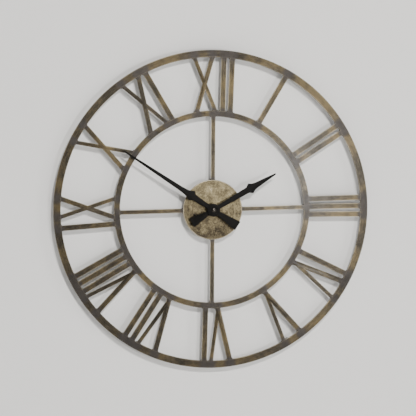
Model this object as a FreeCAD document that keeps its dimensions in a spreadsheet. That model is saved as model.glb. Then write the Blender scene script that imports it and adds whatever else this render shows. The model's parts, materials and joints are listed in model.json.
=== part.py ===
"""Open-frame wall clock with a quartz movement.

Two flat rings are joined by welded Roman numerals, and four spokes carry the dial disc.

+Z is up and the dial faces -Y. The origin is on the hands' axis, in the plane of the wall, so that every
depth below is a distance out from the wall and lies at that distance along -Y. Sizes are millimetres.
"""

import FreeCAD
import Part
import math
import os
import re

import Sketcher
from FreeCAD import Placement, Rotation, Vector

DIMENSIONS = (
    # flat bars of the frame
    ("outer_r", 250, "outer ring, outside radius"),
    ("outer_w", 11.4, "outer ring, width of its bar"),
    ("inner_r", 155.5, "inner ring, outside radius"),
    ("inner_w", 9.2, "inner ring, width of its bar"),
    ("bar_t", 3, "thickness of the rings, spokes and numerals"),
    ("face_d", 20, "depth of the frame's front face"),
    ("spoke_w", 6.6, "width of a spoke"),
    ("upright_lean", 0.9, "turn of the upper and lower spokes, clockwise, degrees"),
    ("level_lean", -0.6, "turn of the left and right spokes, clockwise, degrees"),
    ("disc_r", 47, "dial disc, radius"),
    ("disc_t", 2.2, "dial disc, thickness"),
    # strokes of the numerals, with each spread measured between the middles of two bars
    ("straight_w", 8.4, "width of an I"),
    ("cross_wide", 7.2, "width of the thick bar of an X"),
    ("cross_thin", 6.2, "width of the thin bar of an X"),
    ("vee_wide", 8, "width of the thick bar of a V"),
    ("vee_thin", 6, "width of the thin bar of a V"),
    ("cross_half", 14.4, "half the spread of an X at both rings"),
    ("vee_half", 15.1, "half the spread of a V at the outer ring"),
    ("vee_lap", 0.6, "how far each bar of a V runs past the middle of its point"),
    ("pitch_out", 13.3, "spacing of two I at the outer ring"),
    ("pitch_in", 12.3, "spacing of two I at the inner ring"),
    # bracket and stand-offs that keep the frame clear of the wall
    ("hanger_half", 15.5, "hanger bracket, half its length"),
    ("hanger_w", 10.2, "hanger bracket, width of its strip"),
    ("hanger_t", 1.5, "hanger bracket, thickness"),
    ("hanging_r", 3.25, "radius of the hanging hole"),
    ("stud_r", 3.5, "radius of a stand-off stud and its pad"),
    ("stud_ring", 244.3, "distance of a stud from the hands' axis"),
    ("pad_t", 2, "thickness of the rubber pad on a stud"),
    # hands
    ("hand_t", 0.8, "thickness of a hand"),
    ("hub_r", 10, "radius of the round boss in a hand"),
    ("hub_t", 1.1, "thickness of a hand at its boss"),
    ("minute_reach", 170, "minute hand, from the axis to its tip"),
    ("minute_barb", 43, "minute hand, from the axis to its barb"),
    ("minute_tail", 45.5, "minute hand, from the axis to the end of its tail"),
    ("hour_reach", 114, "hour hand, from the axis to its tip"),
    ("hour_barb", 69, "hour hand, from the axis to its barb"),
    ("hour_tail", 39.6, "hour hand, from the axis to the end of its tail"),
    ("neck_half", 3.1, "half the width of a hand beside its boss"),
    ("arm_half", 4.8, "half the width of a hand behind its barb"),
    ("barb_half", 8.7, "half the width of a hand across its barb"),
    ("blade_half", 4.1, "half the width of a hand where its blade starts"),
    ("tip_half", 1.1, "half the width of a hand at its tip"),
    ("tail_half", 7.8, "half the width of a hand at the end of its tail"),
    ("minute_angle", 304, "minute hand, clockwise from the top, degrees"),
    ("hour_angle", 61, "hour hand, clockwise from the top, degrees"),
    ("hour_hand_d", 26.6, "depth of the hour hand's back"),
    ("minute_hand_d", 29.8, "depth of the minute hand's back"),
    ("hour_collar_r", 3.9, "radius of the collar behind the hour hand"),
    ("minute_collar_r", 2.6, "radius of the collar behind the minute hand"),
    ("collar_t", 1.1, "length of a hand's collar"),
    ("cap_r", 3.4, "hand nut, radius to its corners"),
    ("cap_front", 33.4, "depth of the hand nut's front"),
    # movement case and its fixing
    ("case_side", 56, "side of the square movement case"),
    ("case_front", 16.3, "depth of the case's front"),
    ("case_wall", 1.2, "wall of the case"),
    ("floor_t", 1.3, "thickness of the case's front"),
    ("cover_t", 1.5, "thickness of the rear cover"),
    ("bush_r", 4, "radius of the threaded bush"),
    ("bush_bore", 2.62, "radius of the bush's bore"),
    ("bush_front", 24.2, "depth of the bush's front"),
    ("fixing_gap", 0.3, "clearance of the gasket, washer and disc round the bush"),
    ("gasket_r", 11, "radius of the rubber gasket"),
    ("washer_r", 8, "radius of the flat washer"),
    ("washer_t", 0.8, "thickness of the flat washer"),
    ("nut_r", 7, "hexagonal clamp nut, radius to its corners"),
    ("nut_t", 2.5, "thickness of the clamp nut"),
    ("plate_left", -24, "left end of the train plates"),
    ("plate_low", -9.6, "lower edge of the train plates"),
    ("plate_high", 16.4, "upper edge of the train plates"),
    ("middle_back", 9.9, "depth of the middle plate's back"),
    ("middle_t", 0.8, "thickness of the middle plate"),
    ("bridge_back", 3.6, "depth of the train bridge's back"),
    ("bridge_t", 1, "thickness of the train bridge"),
    ("post_x", 22, "distance of a plate post from the axis, sideways"),
    ("post_low", -7.6, "height of the lower plate posts"),
    ("post_high", 14, "height of the upper plate posts"),
    ("post_r", 1.4, "radius of a plate post"),
    ("screw_r", 0.7, "radius of a plate screw"),
    ("screw_head", 1.5, "radius of a plate screw's head"),
    # battery bay
    ("cell_r", 7.1, "radius of the battery cell"),
    ("cell_len", 49.2, "length of the battery cell without its cap"),
    ("cell_cap", 1.1, "height of the battery cell's cap"),
    ("cell_z", -19.4, "height of the battery cell's axis"),
    ("cell_d", 7.7, "depth of the battery cell's axis"),
    ("bay_wall", -10.5, "upper face of the wall over the battery bay"),
    # wheels: tooth counts, modules and the depth of each wheel's back
    ("wheel_t", 1, "thickness of a motion-work wheel and of every pinion"),
    ("thin_t", 0.8, "thickness of a going-train wheel"),
    ("hour_teeth", 48, "hour wheel"),
    ("hour_driver", 12, "pinion that drives the hour wheel"),
    ("minute_teeth", 48, "motion-work wheel"),
    ("minute_driver", 16, "pinion on the minute arbor"),
    ("motion_reach", 10.5, "distance of the motion-work arbor from the axis"),
    ("motion_angle", -10, "direction of the motion-work arbor, degrees up from the right"),
    ("hour_back", 13.8, "depth of the hour wheel's back"),
    ("minute_back", 12.6, "depth of the motion-work wheel's back"),
    ("centre_teeth", 64, "centre wheel"),
    ("third_teeth", 60, "third wheel"),
    ("second_teeth", 40, "second wheel"),
    ("middle_teeth", 48, "intermediate wheel"),
    ("leaves", 8, "every going-train pinion"),
    ("third_reach", 10.08, "distance of the third arbor from the axis"),
    ("third_angle", 150, "direction of the third arbor, degrees up from the right"),
    ("middle_reach", 7.2, "distance of the intermediate arbor from the axis"),
    ("middle_angle", 60, "direction of the intermediate arbor, degrees up from the right"),
    ("rotor_reach", 7, "distance of the rotor from the intermediate arbor"),
    ("rotor_angle", 60, "direction of the rotor from the intermediate arbor, degrees"),
    ("centre_back", 11.4, "depth of the centre wheel's back"),
    ("third_back", 8.8, "depth of the third wheel's back"),
    ("second_back", 6.8, "depth of the second wheel's back"),
    ("middle_wheel_back", 5.3, "depth of the intermediate wheel's back"),
    ("hour_tube", 2.55, "outside radius of the hour tube"),
    ("hour_tube_bore", 1.67, "bore of the hour tube"),
    ("hour_tube_front", 28.3, "depth of the hour tube's front"),
    ("minute_rod", 1.6, "radius of the minute arbor"),
    ("minute_rod_front", 32.4, "depth of the minute arbor's front"),
    ("minute_seat", 1.3, "radius of the minute arbor inside the centre wheel"),
    ("minute_seat_back", 10.6, "depth of the minute arbor's rear end"),
    ("motion_rod", 0.9, "radius of the motion-work arbor"),
    ("third_rod", 0.5, "radius of the third arbor"),
    ("second_rod", 0.45, "radius of the second arbor"),
    ("fine_rod", 0.4, "radius of the intermediate and rotor arbors"),
    ("pivot_gap", 0.06, "running clearance of an arbor in its hole"),
    ("pivot_back", 3.8, "depth of the rear end of an arbor"),
    ("knob_r", 4.2, "radius of the setting knob"),
    ("knob_front", 3.2, "depth of the setting knob's front"),
    ("knob_back", 0.4, "depth of the setting knob's back"),
    ("magnet_r", 1.6, "radius of the rotor's magnet"),
    # motor and circuit
    ("stator_back", 7.4, "depth of the stator's back"),
    ("stator_t", 0.8, "thickness of the stator"),
    ("stator_left", -3, "left end of the stator"),
    ("stator_len", 22, "length of the stator"),
    ("stator_limb", 4.5, "width of the stator's limbs"),
    ("coil_z", 21.5, "height of the coil's axis"),
    ("coil_r", 3.7, "radius of the winding"),
    ("coil_core", 1.9, "radius of the bobbin's barrel"),
    ("flange_r", 4, "radius of the bobbin's flanges"),
    ("flange_t", 0.9, "thickness of the bobbin's flanges"),
    ("board_back", 5.6, "depth of the circuit board's back"),
    ("board_t", 0.8, "thickness of the circuit board"),
)

# Each numeral: the strokes that clockwise reading meets, the place of its X, V or middle I clockwise from the
# hour at the outer and at the inner ring, and the distance from there to the first I beside an X or V.
NUMERALS = {
    "I": ("I", -1, -3, 0, 0),
    "II": ("II", -5.3, -1.7, 0, 0),
    "III": ("III", -2, -2, 0, 0),
    "IV": ("IV", 13.3, 9, 28.5, 19.5),
    "V": ("V", -7.8, -6, 0, 0),
    "VI": ("VI", -10.8, -7.5, 26.3, 20),
    "VII": ("VII", -15, -9.5, 26.5, 16.5),
    "VIII": ("VIII", -29, -20, 24.8, 15.5),
    "IX": ("IX", 7.8, 5.8, 32, 25),
    "X": ("X", 1.8, 2, 0, 0),
    "XI": ("XI", -9.5, -7.8, 26.5, 25),
    "XII": ("XII", -12.8, -9, 32.8, 26),
}
HOUR_STEP = 30

# Half thicknesses of a tooth at its tip and root and its reach above and below the pitch circle, in modules.
TOOTH_TIP = 0.38
TOOTH_ROOT = 0.95
TOOTH_ABOVE = 0.8
TOOTH_BELOW = 1.15

TO_FRONT = Rotation(Vector(1, 0, 0), 90)
TO_RIGHT = Rotation(Vector(0, 1, 0), 90)

ALIASES = {alias for alias, _, _ in DIMENSIONS}
doc = FreeCAD.newDocument("wall_clock")
sheet = doc.addObject("Spreadsheet::Sheet", "dims")
nodes = []


def fill_sheet():
    for row, (alias, number, meaning) in enumerate(DIMENSIONS, start=1):
        sheet.set(f"A{row}", meaning)
        sheet.set(f"B{row}", str(number))
        sheet.setAlias(f"B{row}", alias)
    doc.recompute()


def formula(text):
    """The text with every alias in it turned into a reference to its cell."""

    def cell(word):
        return f"dims.{word[0]}" if word[0] in ALIASES else word[0]

    return re.sub(r"[a-z_]+", cell, str(text))


def size(text):
    """The number that a formula of aliases comes to."""
    return float(sheet.evalExpression(formula(text)))


def bind(thing, **formulas):
    for name, text in formulas.items():
        thing.setExpression(name, formula(text))


def place(thing, at, turn=None):
    thing.Placement = Placement(Vector(), turn or Rotation())
    for axis, text in zip("xyz", at):
        thing.setExpression(f"Placement.Base.{axis}", formula(text))


def keep(thing, label):
    """Makes an object one of the clock's pieces."""
    thing.Label = label
    nodes.append(thing)
    return thing


def clockwise(degrees):
    """A turn about the hands' axis that takes the top of the dial clockwise, seen from the front."""
    return Rotation(Vector(0, 1, 0), degrees)


def axis_at(reach, angle, start=(0, 0)):
    """The place of an arbor on the dial's plane, from aliases of its distance and direction."""
    turn = math.radians(size(angle))
    return start[0] + size(reach) * math.cos(turn), start[1] + size(reach) * math.sin(turn)


def rod(name, radius, length, at, turn=TO_FRONT):
    """A cylinder whose base is centred at a point, reaching towards the front unless turned otherwise."""
    thing = doc.addObject("Part::Cylinder", name)
    bind(thing, Radius=radius, Height=length)
    place(thing, at, turn)
    return thing


def block(name, sides, at):
    """A box with its lowest corner at a point."""
    thing = doc.addObject("Part::Box", name)
    bind(thing, Length=sides[0], Width=sides[1], Height=sides[2])
    place(thing, at)
    return thing


def join(name, pieces):
    thing = doc.addObject("Part::MultiFuse", name)
    thing.Shapes = pieces
    return thing


def cut(name, base, tools):
    thing = doc.addObject("Part::Cut", name)
    thing.Base = base
    thing.Tool = tools[0] if len(tools) == 1 else join(name + "_tools", tools)
    return thing


def overlap(name, pieces):
    thing = doc.addObject("Part::MultiCommon", name)
    thing.Shapes = pieces
    return thing


def new_body(label, back, turn=None):
    """A body that stands out from the depth given, with its own sketches drawn on the dial's plane."""
    body = doc.addObject("PartDesign::Body", label)
    place(body, ("0", f"-({back})", "0"), turn)
    return keep(body, label)


def new_sketch(body, role="XZ_Plane"):
    sketch = body.newObject("Sketcher::SketchObject", body.Label + "_sketch")
    plane = next(feature for feature in body.Origin.OriginFeatures if feature.Role == role)
    sketch.AttachmentSupport = [(plane, "")]
    sketch.MapMode = "FlatFace"
    return sketch


def draw_circle(sketch, radius):
    """A circle about the sketch's origin."""
    index = sketch.addGeometry(Part.Circle(Vector(), Vector(0, 0, 1), size(radius)))
    sketch.addConstraint(Sketcher.Constraint("Coincident", index, 3, -1, 1))
    radius_row = sketch.addConstraint(Sketcher.Constraint("Radius", index, size(radius)))
    sketch.setExpression(f"Constraints[{radius_row}]", formula(radius))


def draw_outline(sketch, corners):
    """A closed outline of straight edges, with the place of every corner bound to the sheet."""
    points = [Vector(size(across), size(up), 0) for across, up in corners]
    lines = [
        sketch.addGeometry(Part.LineSegment(start, end))
        for start, end in zip(points, points[1:] + points[:1])
    ]
    for line, following in zip(lines, lines[1:] + lines[:1]):
        sketch.addConstraint(Sketcher.Constraint("Coincident", line, 2, following, 1))
    for line, corner in zip(lines, corners):
        for kind, text in zip(("DistanceX", "DistanceY"), corner):
            row = sketch.addConstraint(Sketcher.Constraint(kind, -1, 1, line, 1, size(text)))
            sketch.setExpression(f"Constraints[{row}]", formula(text))


def pad(body, sketch, length, backwards=False):
    solid = body.newObject("PartDesign::Pad", body.Label + "_pad")
    solid.Profile = sketch
    solid.Reversed = backwards
    bind(solid, Length=length)
    return solid


def flat_ring(label, outside, inside, thickness, back):
    body = new_body(label, back)
    sketch = new_sketch(body)
    draw_circle(sketch, outside)
    draw_circle(sketch, inside)
    pad(body, sketch, thickness)


def band(name, outside, inside):
    """The space between two cylinders about the hands' axis, deeper than the bars that it trims."""
    whole = rod(name + "_outside", outside, "3 * bar_t", ("0", "-(face_d - 2 * bar_t)", "0"))
    core = rod(name + "_inside", inside, "5 * bar_t", ("0", "-(face_d - 3 * bar_t)", "0"))
    return cut(name, whole, [core])


def make_rings():
    flat_ring("outer_ring", "outer_r", "outer_r - outer_w", "bar_t", "face_d - bar_t")
    flat_ring("inner_ring", "inner_r", "inner_r - inner_w", "bar_t", "face_d - bar_t")
    flat_ring("dial_disc", "disc_r", "bush_r + fixing_gap", "disc_t", "face_d - disc_t")


def make_spokes():
    """Four straight bars from the disc's edge to the inner ring, each end cut to the curve that it meets."""
    between = band("spoke_band", "inner_r - inner_w", "disc_r")
    sides = ("spoke_w", "bar_t", "inner_r")
    corner = ("-spoke_w / 2", "-face_d", "disc_r / 2")
    for label, degrees in (
        ("spoke_top", size("upright_lean")),
        ("spoke_right", 90 + size("level_lean")),
        ("spoke_bottom", 180 + size("upright_lean")),
        ("spoke_left", 270 + size("level_lean")),
    ):
        spoke = overlap(label, [block(label + "_bar", sides, corner), between])
        spoke.Placement = Placement(Vector(), clockwise(degrees))
        keep(spoke, label)


def stroke(name, width, outer_u, inner_u):
    """A straight bar whose middle crosses both rings at the given distances clockwise from the hour."""
    low, high = size("inner_r"), size("outer_r - outer_w")
    spare = size("outer_w") / 2
    lean = math.atan2(outer_u - inner_u, high - low)
    run = math.hypot(outer_u - inner_u, high - low)
    turn = clockwise(math.degrees(lean))
    corner = turn.multVec(Vector(-size(width) / 2, 0, -spare))
    bar = doc.addObject("Part::Box", name)
    bind(bar, Length=width, Width="bar_t", Height=f"{run} + outer_w")
    base = Vector(inner_u, -size("face_d"), low) + corner
    bar.Placement = Placement(base, turn)
    return bar


def strokes_of(glyphs, outer_u, inner_u, outer_gap, inner_gap):
    """The bars of one numeral as (width, place at the outer ring, place at the inner ring)."""
    outer_pitch, inner_pitch = size("pitch_out"), size("pitch_in")
    straight = glyphs.count("I")
    if straight == len(glyphs):
        middle = (straight - 1) / 2
        return [
            ("straight_w", outer_u + (n - middle) * outer_pitch, inner_u + (n - middle) * inner_pitch)
            for n in range(straight)
        ]
    side = -1 if glyphs[0] == "I" else 1
    bars = []
    for n in range(straight):
        outer_place = outer_u + side * (outer_gap + n * outer_pitch)
        inner_place = inner_u + side * (inner_gap + n * inner_pitch)
        bars.append(("straight_w", outer_place, inner_place))
    if "X" in glyphs:
        half = size("cross_half")
        bars.append(("cross_thin", outer_u - half, inner_u + half))
        bars.append(("cross_wide", outer_u + half, inner_u - half))
    else:
        half, lap = size("vee_half"), size("vee_lap")
        bars.append(("vee_wide", outer_u - half, inner_u + lap))
        bars.append(("vee_thin", outer_u + half, inner_u - lap))
    return bars


def make_numerals():
    between = band("numeral_band", "outer_r - outer_w", "inner_r")
    for hour, layout in enumerate(NUMERALS.values(), start=1):
        label = f"numeral_{hour:02d}"
        bars = [stroke(label + "_bar", *bar) for bar in strokes_of(*layout)]
        group = bars[0] if len(bars) == 1 else join(label + "_bars", bars)
        numeral = overlap(label, [group, between])
        numeral.Placement = Placement(Vector(), clockwise(hour * HOUR_STEP))
        keep(numeral, label)


def make_hanger():
    """A bent strip welded behind the top of the outer ring, with a round hole for a nail or screw head."""
    body = doc.addObject("PartDesign::Body", "hanger_bracket")
    place(body, ("0", "0", "outer_r - outer_w / 2 - hanger_w / 2"))
    keep(body, "hanger_bracket")
    sketch = new_sketch(body, "XY_Plane")
    inside, foot = "hanger_half - hanger_t", "-(face_d - bar_t)"
    draw_outline(
        sketch,
        (
            ("-hanger_half", foot),
            ("-hanger_half", "0"),
            ("hanger_half", "0"),
            ("hanger_half", foot),
            (inside, foot),
            (inside, "-hanger_t"),
            (f"-({inside})", "-hanger_t"),
            (f"-({inside})", foot),
        ),
    )
    strip = pad(body, sketch, "hanger_w")
    hole_sketch = new_sketch(body)
    circle = Part.Circle(Vector(0, size("hanger_w / 2"), 0), Vector(0, 0, 1), size("hanging_r"))
    index = hole_sketch.addGeometry(circle)
    hole_sketch.addConstraint(Sketcher.Constraint("PointOnObject", index, 3, -2))
    for kind, text in (("Radius", "hanging_r"), ("DistanceY", "hanger_w / 2")):
        ends = (index,) if kind == "Radius" else (-1, 1, index, 3)
        row = hole_sketch.addConstraint(Sketcher.Constraint(kind, *ends, size(text)))
        hole_sketch.setExpression(f"Constraints[{row}]", formula(text))
    hole = body.newObject("PartDesign::Pocket", "hanging_hole")
    hole.Profile = hole_sketch
    bind(hole, Length="2 * hanger_t")
    doc.recompute()
    if strip.Shape.Volume - hole.Shape.Volume < 1:
        hole.Reversed = True


def make_studs():
    """Two studs at five and seven o'clock that hold the frame level with the wall, each with a rubber pad."""
    studs, pads = [], []
    for hour in (5, 7):
        turn = math.radians(hour * HOUR_STEP)
        across = f"stud_ring * {math.sin(turn)}"
        up = f"stud_ring * {math.cos(turn)}"
        studs.append(rod("stud", "stud_r", "face_d - bar_t - pad_t", (across, "-pad_t", up)))
        pads.append(rod("stud_pad", "stud_r", "pad_t", (across, "0", up)))
    keep(join("wall_studs", studs), "wall_studs")
    keep(join("stud_pads", pads), "stud_pads")


def hand(name, bore):
    """A flat hand with a spreading tail, a round boss and a barb where its long blade starts."""
    body = new_body(f"{name}_hand", f"{name}_hand_d", clockwise(size(f"{name}_angle")))
    barb = f"{name}_barb"
    right = (
        ("tail_half", f"-{name}_tail"),
        ("neck_half", "-0.6 * hub_r"),
        ("neck_half", "0.6 * hub_r"),
        ("arm_half", f"{barb} - 0.7 * barb_half"),
        ("barb_half", f"{barb} - 0.1 * barb_half"),
        ("0.62 * barb_half + 0.1 * blade_half", f"{barb} + 0.45 * barb_half"),
        ("blade_half + 0.3 * tip_half", f"{barb} + 1.1 * barb_half"),
        ("0.9 * blade_half", f"{barb} + 2.2 * barb_half"),
        ("tip_half", f"{name}_reach"),
    )
    left = tuple((f"-({half})", along) for half, along in reversed(right))
    sketch = new_sketch(body)
    draw_outline(sketch, right + left)
    draw_circle(sketch, bore)
    pad(body, sketch, "hand_t")
    boss_sketch = new_sketch(body)
    draw_circle(boss_sketch, "hub_r")
    draw_circle(boss_sketch, bore)
    pad(body, boss_sketch, "hub_t")
    collar_sketch = new_sketch(body)
    draw_circle(collar_sketch, f"{name}_collar_r")
    draw_circle(collar_sketch, bore)
    pad(body, collar_sketch, "collar_t", backwards=True)


def make_hands():
    for name, bore in (("hour", "hour_tube"), ("minute", "minute_rod")):
        hand(name, bore)
    back = "minute_hand_d + hub_t"
    cap = doc.addObject("Part::Prism", "cap")
    cap.Polygon = 6
    bind(cap, Circumradius="cap_r", Height=f"cap_front - ({back})")
    place(cap, ("0", f"-({back})", "0"), TO_FRONT)
    seat = rod("cap_seat", "minute_rod", f"minute_rod_front - ({back})", ("0", f"-({back})", "0"))
    keep(cut("hand_nut", cap, [seat]), "hand_nut")


def make_fixing():
    """The gasket, washer and nut that clamp the movement to the disc by its threaded bush."""
    hole = "bush_r + fixing_gap"
    flat_ring("rubber_gasket", "gasket_r", hole, "face_d - disc_t - case_front", "case_front")
    flat_ring("flat_washer", "washer_r", hole, "washer_t", "face_d")
    length = "bush_front - case_front + floor_t"
    flat_ring("threaded_bush", "bush_r", "bush_bore", length, "case_front - floor_t")
    nut = doc.addObject("Part::Prism", "nut")
    nut.Polygon = 6
    bind(nut, Circumradius="nut_r", Height="nut_t")
    place(nut, ("0", "-(face_d + washer_t)", "0"), TO_FRONT)
    thread = rod("nut_thread", "bush_r + pivot_gap", "nut_t", ("0", "-(face_d + washer_t)", "0"))
    keep(cut("clamp_nut", nut, [thread]), "clamp_nut")


def post_places():
    return [(sign * size("post_x"), size(up)) for sign in (-1, 1) for up in ("post_low", "post_high")]


def make_case():
    """The front shell with its battery bay, plate posts and pivot holes, and the flat cover behind it."""
    half, wall = "case_side / 2", "case_wall"
    outside = ("case_side", "case_front - cover_t", "case_side")
    shell = block("case_shell", outside, (f"-{half}", "-case_front", f"-{half}"))
    room = ("case_side - 2 * case_wall", "case_front", "case_side - 2 * case_wall")
    inside = block("case_room", room, (f"-{half} + {wall}", "-case_front + floor_t", f"-{half} + {wall}"))
    hollow = cut("case_hollow", shell, [inside])
    bay = block(
        "bay_wall_block",
        ("case_side - case_wall", "case_front - cover_t - 0.5 * case_wall", "0.8 * case_wall"),
        (f"-{half} + {wall} / 2", "-case_front + 0.5 * case_wall", "bay_wall - 0.8 * case_wall"),
    )
    floor = "-case_front + floor_t"
    post_len = "case_front - floor_t - middle_back - middle_t + 0.5"
    posts = [rod("post", "post_r", post_len, (x, "-(middle_back + middle_t)", z)) for x, z in post_places()]
    filled = join("case_filled", [hollow, bay] + posts)
    pivots = [
        rod("pivot", f"{radius} + pivot_gap", "0.8", (x, f"{floor} + 0.1", z))
        for radius, (x, z) in (("motion_rod", motion_axis), ("third_rod", third_axis))
    ]
    neck = rod("neck_hole", "bush_r", "3 * case_wall", ("0", "-case_front + 2 * case_wall", "0"))
    keep(cut("movement_case", filled, pivots + [neck]), "movement_case")

    sizes = ("case_side", "cover_t", "case_side")
    cover = block("cover_plate", sizes, (f"-{half}", "-cover_t", f"-{half}"))
    window = block(
        "battery_window",
        ("case_side - 3 * case_wall", "3 * cover_t", "2 * cell_r + 0.4"),
        (f"-{half} + 1.5 * {wall}", "-2 * cover_t", "cell_z - cell_r - 0.2"),
    )
    knob_x, knob_z = motion_axis
    knob_hole = rod("knob_hole", "knob_r + 0.4", "3 * cover_t", (knob_x, "cover_t", knob_z))
    keep(cut("rear_cover", cover, [window, knob_hole]), "rear_cover")


def make_plates():
    """The middle plate and the rear bridge that carry the arbors, with pillars and screws."""
    width, tall = "-2 * plate_left", "plate_high - plate_low"
    for label, back, thick, centre in (
        ("middle_plate", "middle_back", "middle_t", "2"),
        ("train_bridge", "bridge_back", "bridge_t", "second_rod + pivot_gap"),
    ):
        corner = ("plate_left", f"-({back} + {thick})", "plate_low")
        plate = block(label + "_blank", (width, thick, tall), corner)
        holes = [(centre, (0, 0))]
        holes.append(("motion_rod + pivot_gap", motion_axis))
        holes.append(("third_rod + pivot_gap", third_axis))
        holes.append(("fine_rod + pivot_gap", middle_axis))
        holes.append(("fine_rod + pivot_gap", rotor_axis))
        if label == "train_bridge":
            holes += [("screw_r", spot) for spot in post_places()]
        tools = [rod(label + "_hole", radius, "3", (x, f"-{back} + 1", z)) for radius, (x, z) in holes]
        keep(cut(label, plate, tools), label)

    pillars, screws = [], []
    gap = "middle_back - bridge_back - bridge_t"
    for x, z in post_places():
        pillar = rod("pillar", "post_r", gap, (x, "-(bridge_back + bridge_t)", z))
        bore = rod("pillar_bore", "screw_r", gap, (x, "-(bridge_back + bridge_t)", z))
        pillars.append(cut("pillar_tube", pillar, [bore]))
        shank = rod("screw_shank", "screw_r", "middle_back - bridge_back", (x, "-bridge_back", z))
        head = rod("screw_top", "screw_head", "0.9", (x, "-(bridge_back - 0.9)", z))
        screws.append(join("screw", [shank, head]))
    keep(join("plate_pillars", pillars), "plate_pillars")
    keep(join("plate_screws", screws), "plate_screws")


def turned(radius, back, front):
    """A cylinder about the local axis between two depths."""
    start = Vector(0, -size(back), 0)
    return Part.makeCylinder(size(radius), size(front) - size(back), start, Vector(0, -1, 0))


def toothed(teeth, module, back, thickness, first):
    """A toothed wheel about the local axis, with the middle of a tooth at the angle first, in radians."""
    count = round(size(teeth))
    pitch_r = count * module / 2
    tip, root = pitch_r + TOOTH_ABOVE * module, pitch_r - TOOTH_BELOW * module
    profile = ((root, -TOOTH_ROOT), (tip, -TOOTH_TIP), (tip, TOOTH_TIP), (root, TOOTH_ROOT))
    points = []
    for tooth in range(count):
        middle = first + 2 * math.pi * tooth / count
        for radius, half in profile:
            angle = middle + half * module / radius
            points.append(Vector(radius * math.cos(angle), -size(back), radius * math.sin(angle)))
    face = Part.Face(Part.makePolygon(points + points[:1]))
    return face.extrude(Vector(0, -size(thickness), 0))


def facing(teeth, direction):
    """The first tooth's angle for a wheel whose gap, not a tooth, faces the given direction in radians."""
    return direction + math.pi / round(size(teeth))


def wheel(label, solids, spot=(0, 0), bore=None):
    """One turning piece of the train, set on its arbor's place."""
    whole = solids[0].fuse(solids[1:]) if len(solids) > 1 else solids[0]
    if bore:
        whole = whole.cut(bore)
    thing = doc.addObject("Part::Feature", label)
    thing.Shape = whole.removeSplitter()
    thing.Placement = Placement(Vector(spot[0], 0, spot[1]), Rotation())
    keep(thing, label)


def mesh_module(reach, big, small):
    """The module at which two wheels mesh over a distance between their axes."""
    return 2 * size(reach) / (size(big) + size(small))


def make_motion_work():
    """The wheels that carry the hands: minute arbor, motion-work wheel and hour wheel."""
    direction = math.radians(size("motion_angle"))
    back_again = direction + math.pi
    fine = mesh_module("motion_reach", "minute_teeth", "minute_driver")
    coarse = mesh_module("motion_reach", "hour_teeth", "hour_driver")
    floor = "case_front - floor_t"

    hour = toothed("hour_teeth", coarse, "hour_back", "wheel_t", direction)
    tube = turned("hour_tube", "hour_back", "hour_tube_front")
    hollow = turned("hour_tube_bore", "hour_back - 1", "hour_tube_front + 1")
    wheel("hour_wheel", [hour, tube], bore=hollow)

    driver = toothed("minute_driver", fine, "minute_back", "wheel_t", direction)
    front = turned("minute_rod", "minute_back", "minute_rod_front")
    seat = turned("minute_seat", "minute_seat_back", "minute_back")
    pivot = turned("second_rod + 0.05", "minute_seat_back - 1", "minute_back")
    wheel("minute_arbor", [driver, front, seat], bore=pivot)
    washer = turned("2.2 * minute_seat", "centre_back + thin_t + 0.05", "minute_back - 0.05")
    wheel("clutch_spring", [washer], bore=turned("minute_seat + 0.05", "centre_back", "minute_back + 1"))

    driven = toothed("minute_teeth", fine, "minute_back", "wheel_t", facing("minute_teeth", back_again))
    small = toothed("hour_driver", coarse, "hour_back", "wheel_t", facing("hour_driver", back_again))
    link = turned("1.6 * motion_rod", "minute_back", "hour_back + wheel_t")
    arbor = turned("motion_rod", "knob_front", f"{floor} + 0.6")
    wheel("motion_wheel", [driven, link, small, arbor], motion_axis)
    make_knob()


def make_knob():
    """The setting knob, with shallow finger grooves round its edge."""
    body = turned("knob_r", "knob_back", "knob_front")
    grooves = 12
    for n in range(grooves):
        turn = 2 * math.pi * n / grooves
        reach = size("knob_r") + 0.25
        spot = Vector(reach * math.cos(turn), 0, reach * math.sin(turn))
        groove = Part.makeCylinder(0.6, 2 * size("knob_front"), spot, Vector(0, -1, 0))
        body = body.cut(groove)
    wheel("setting_knob", [body], motion_axis)


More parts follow.
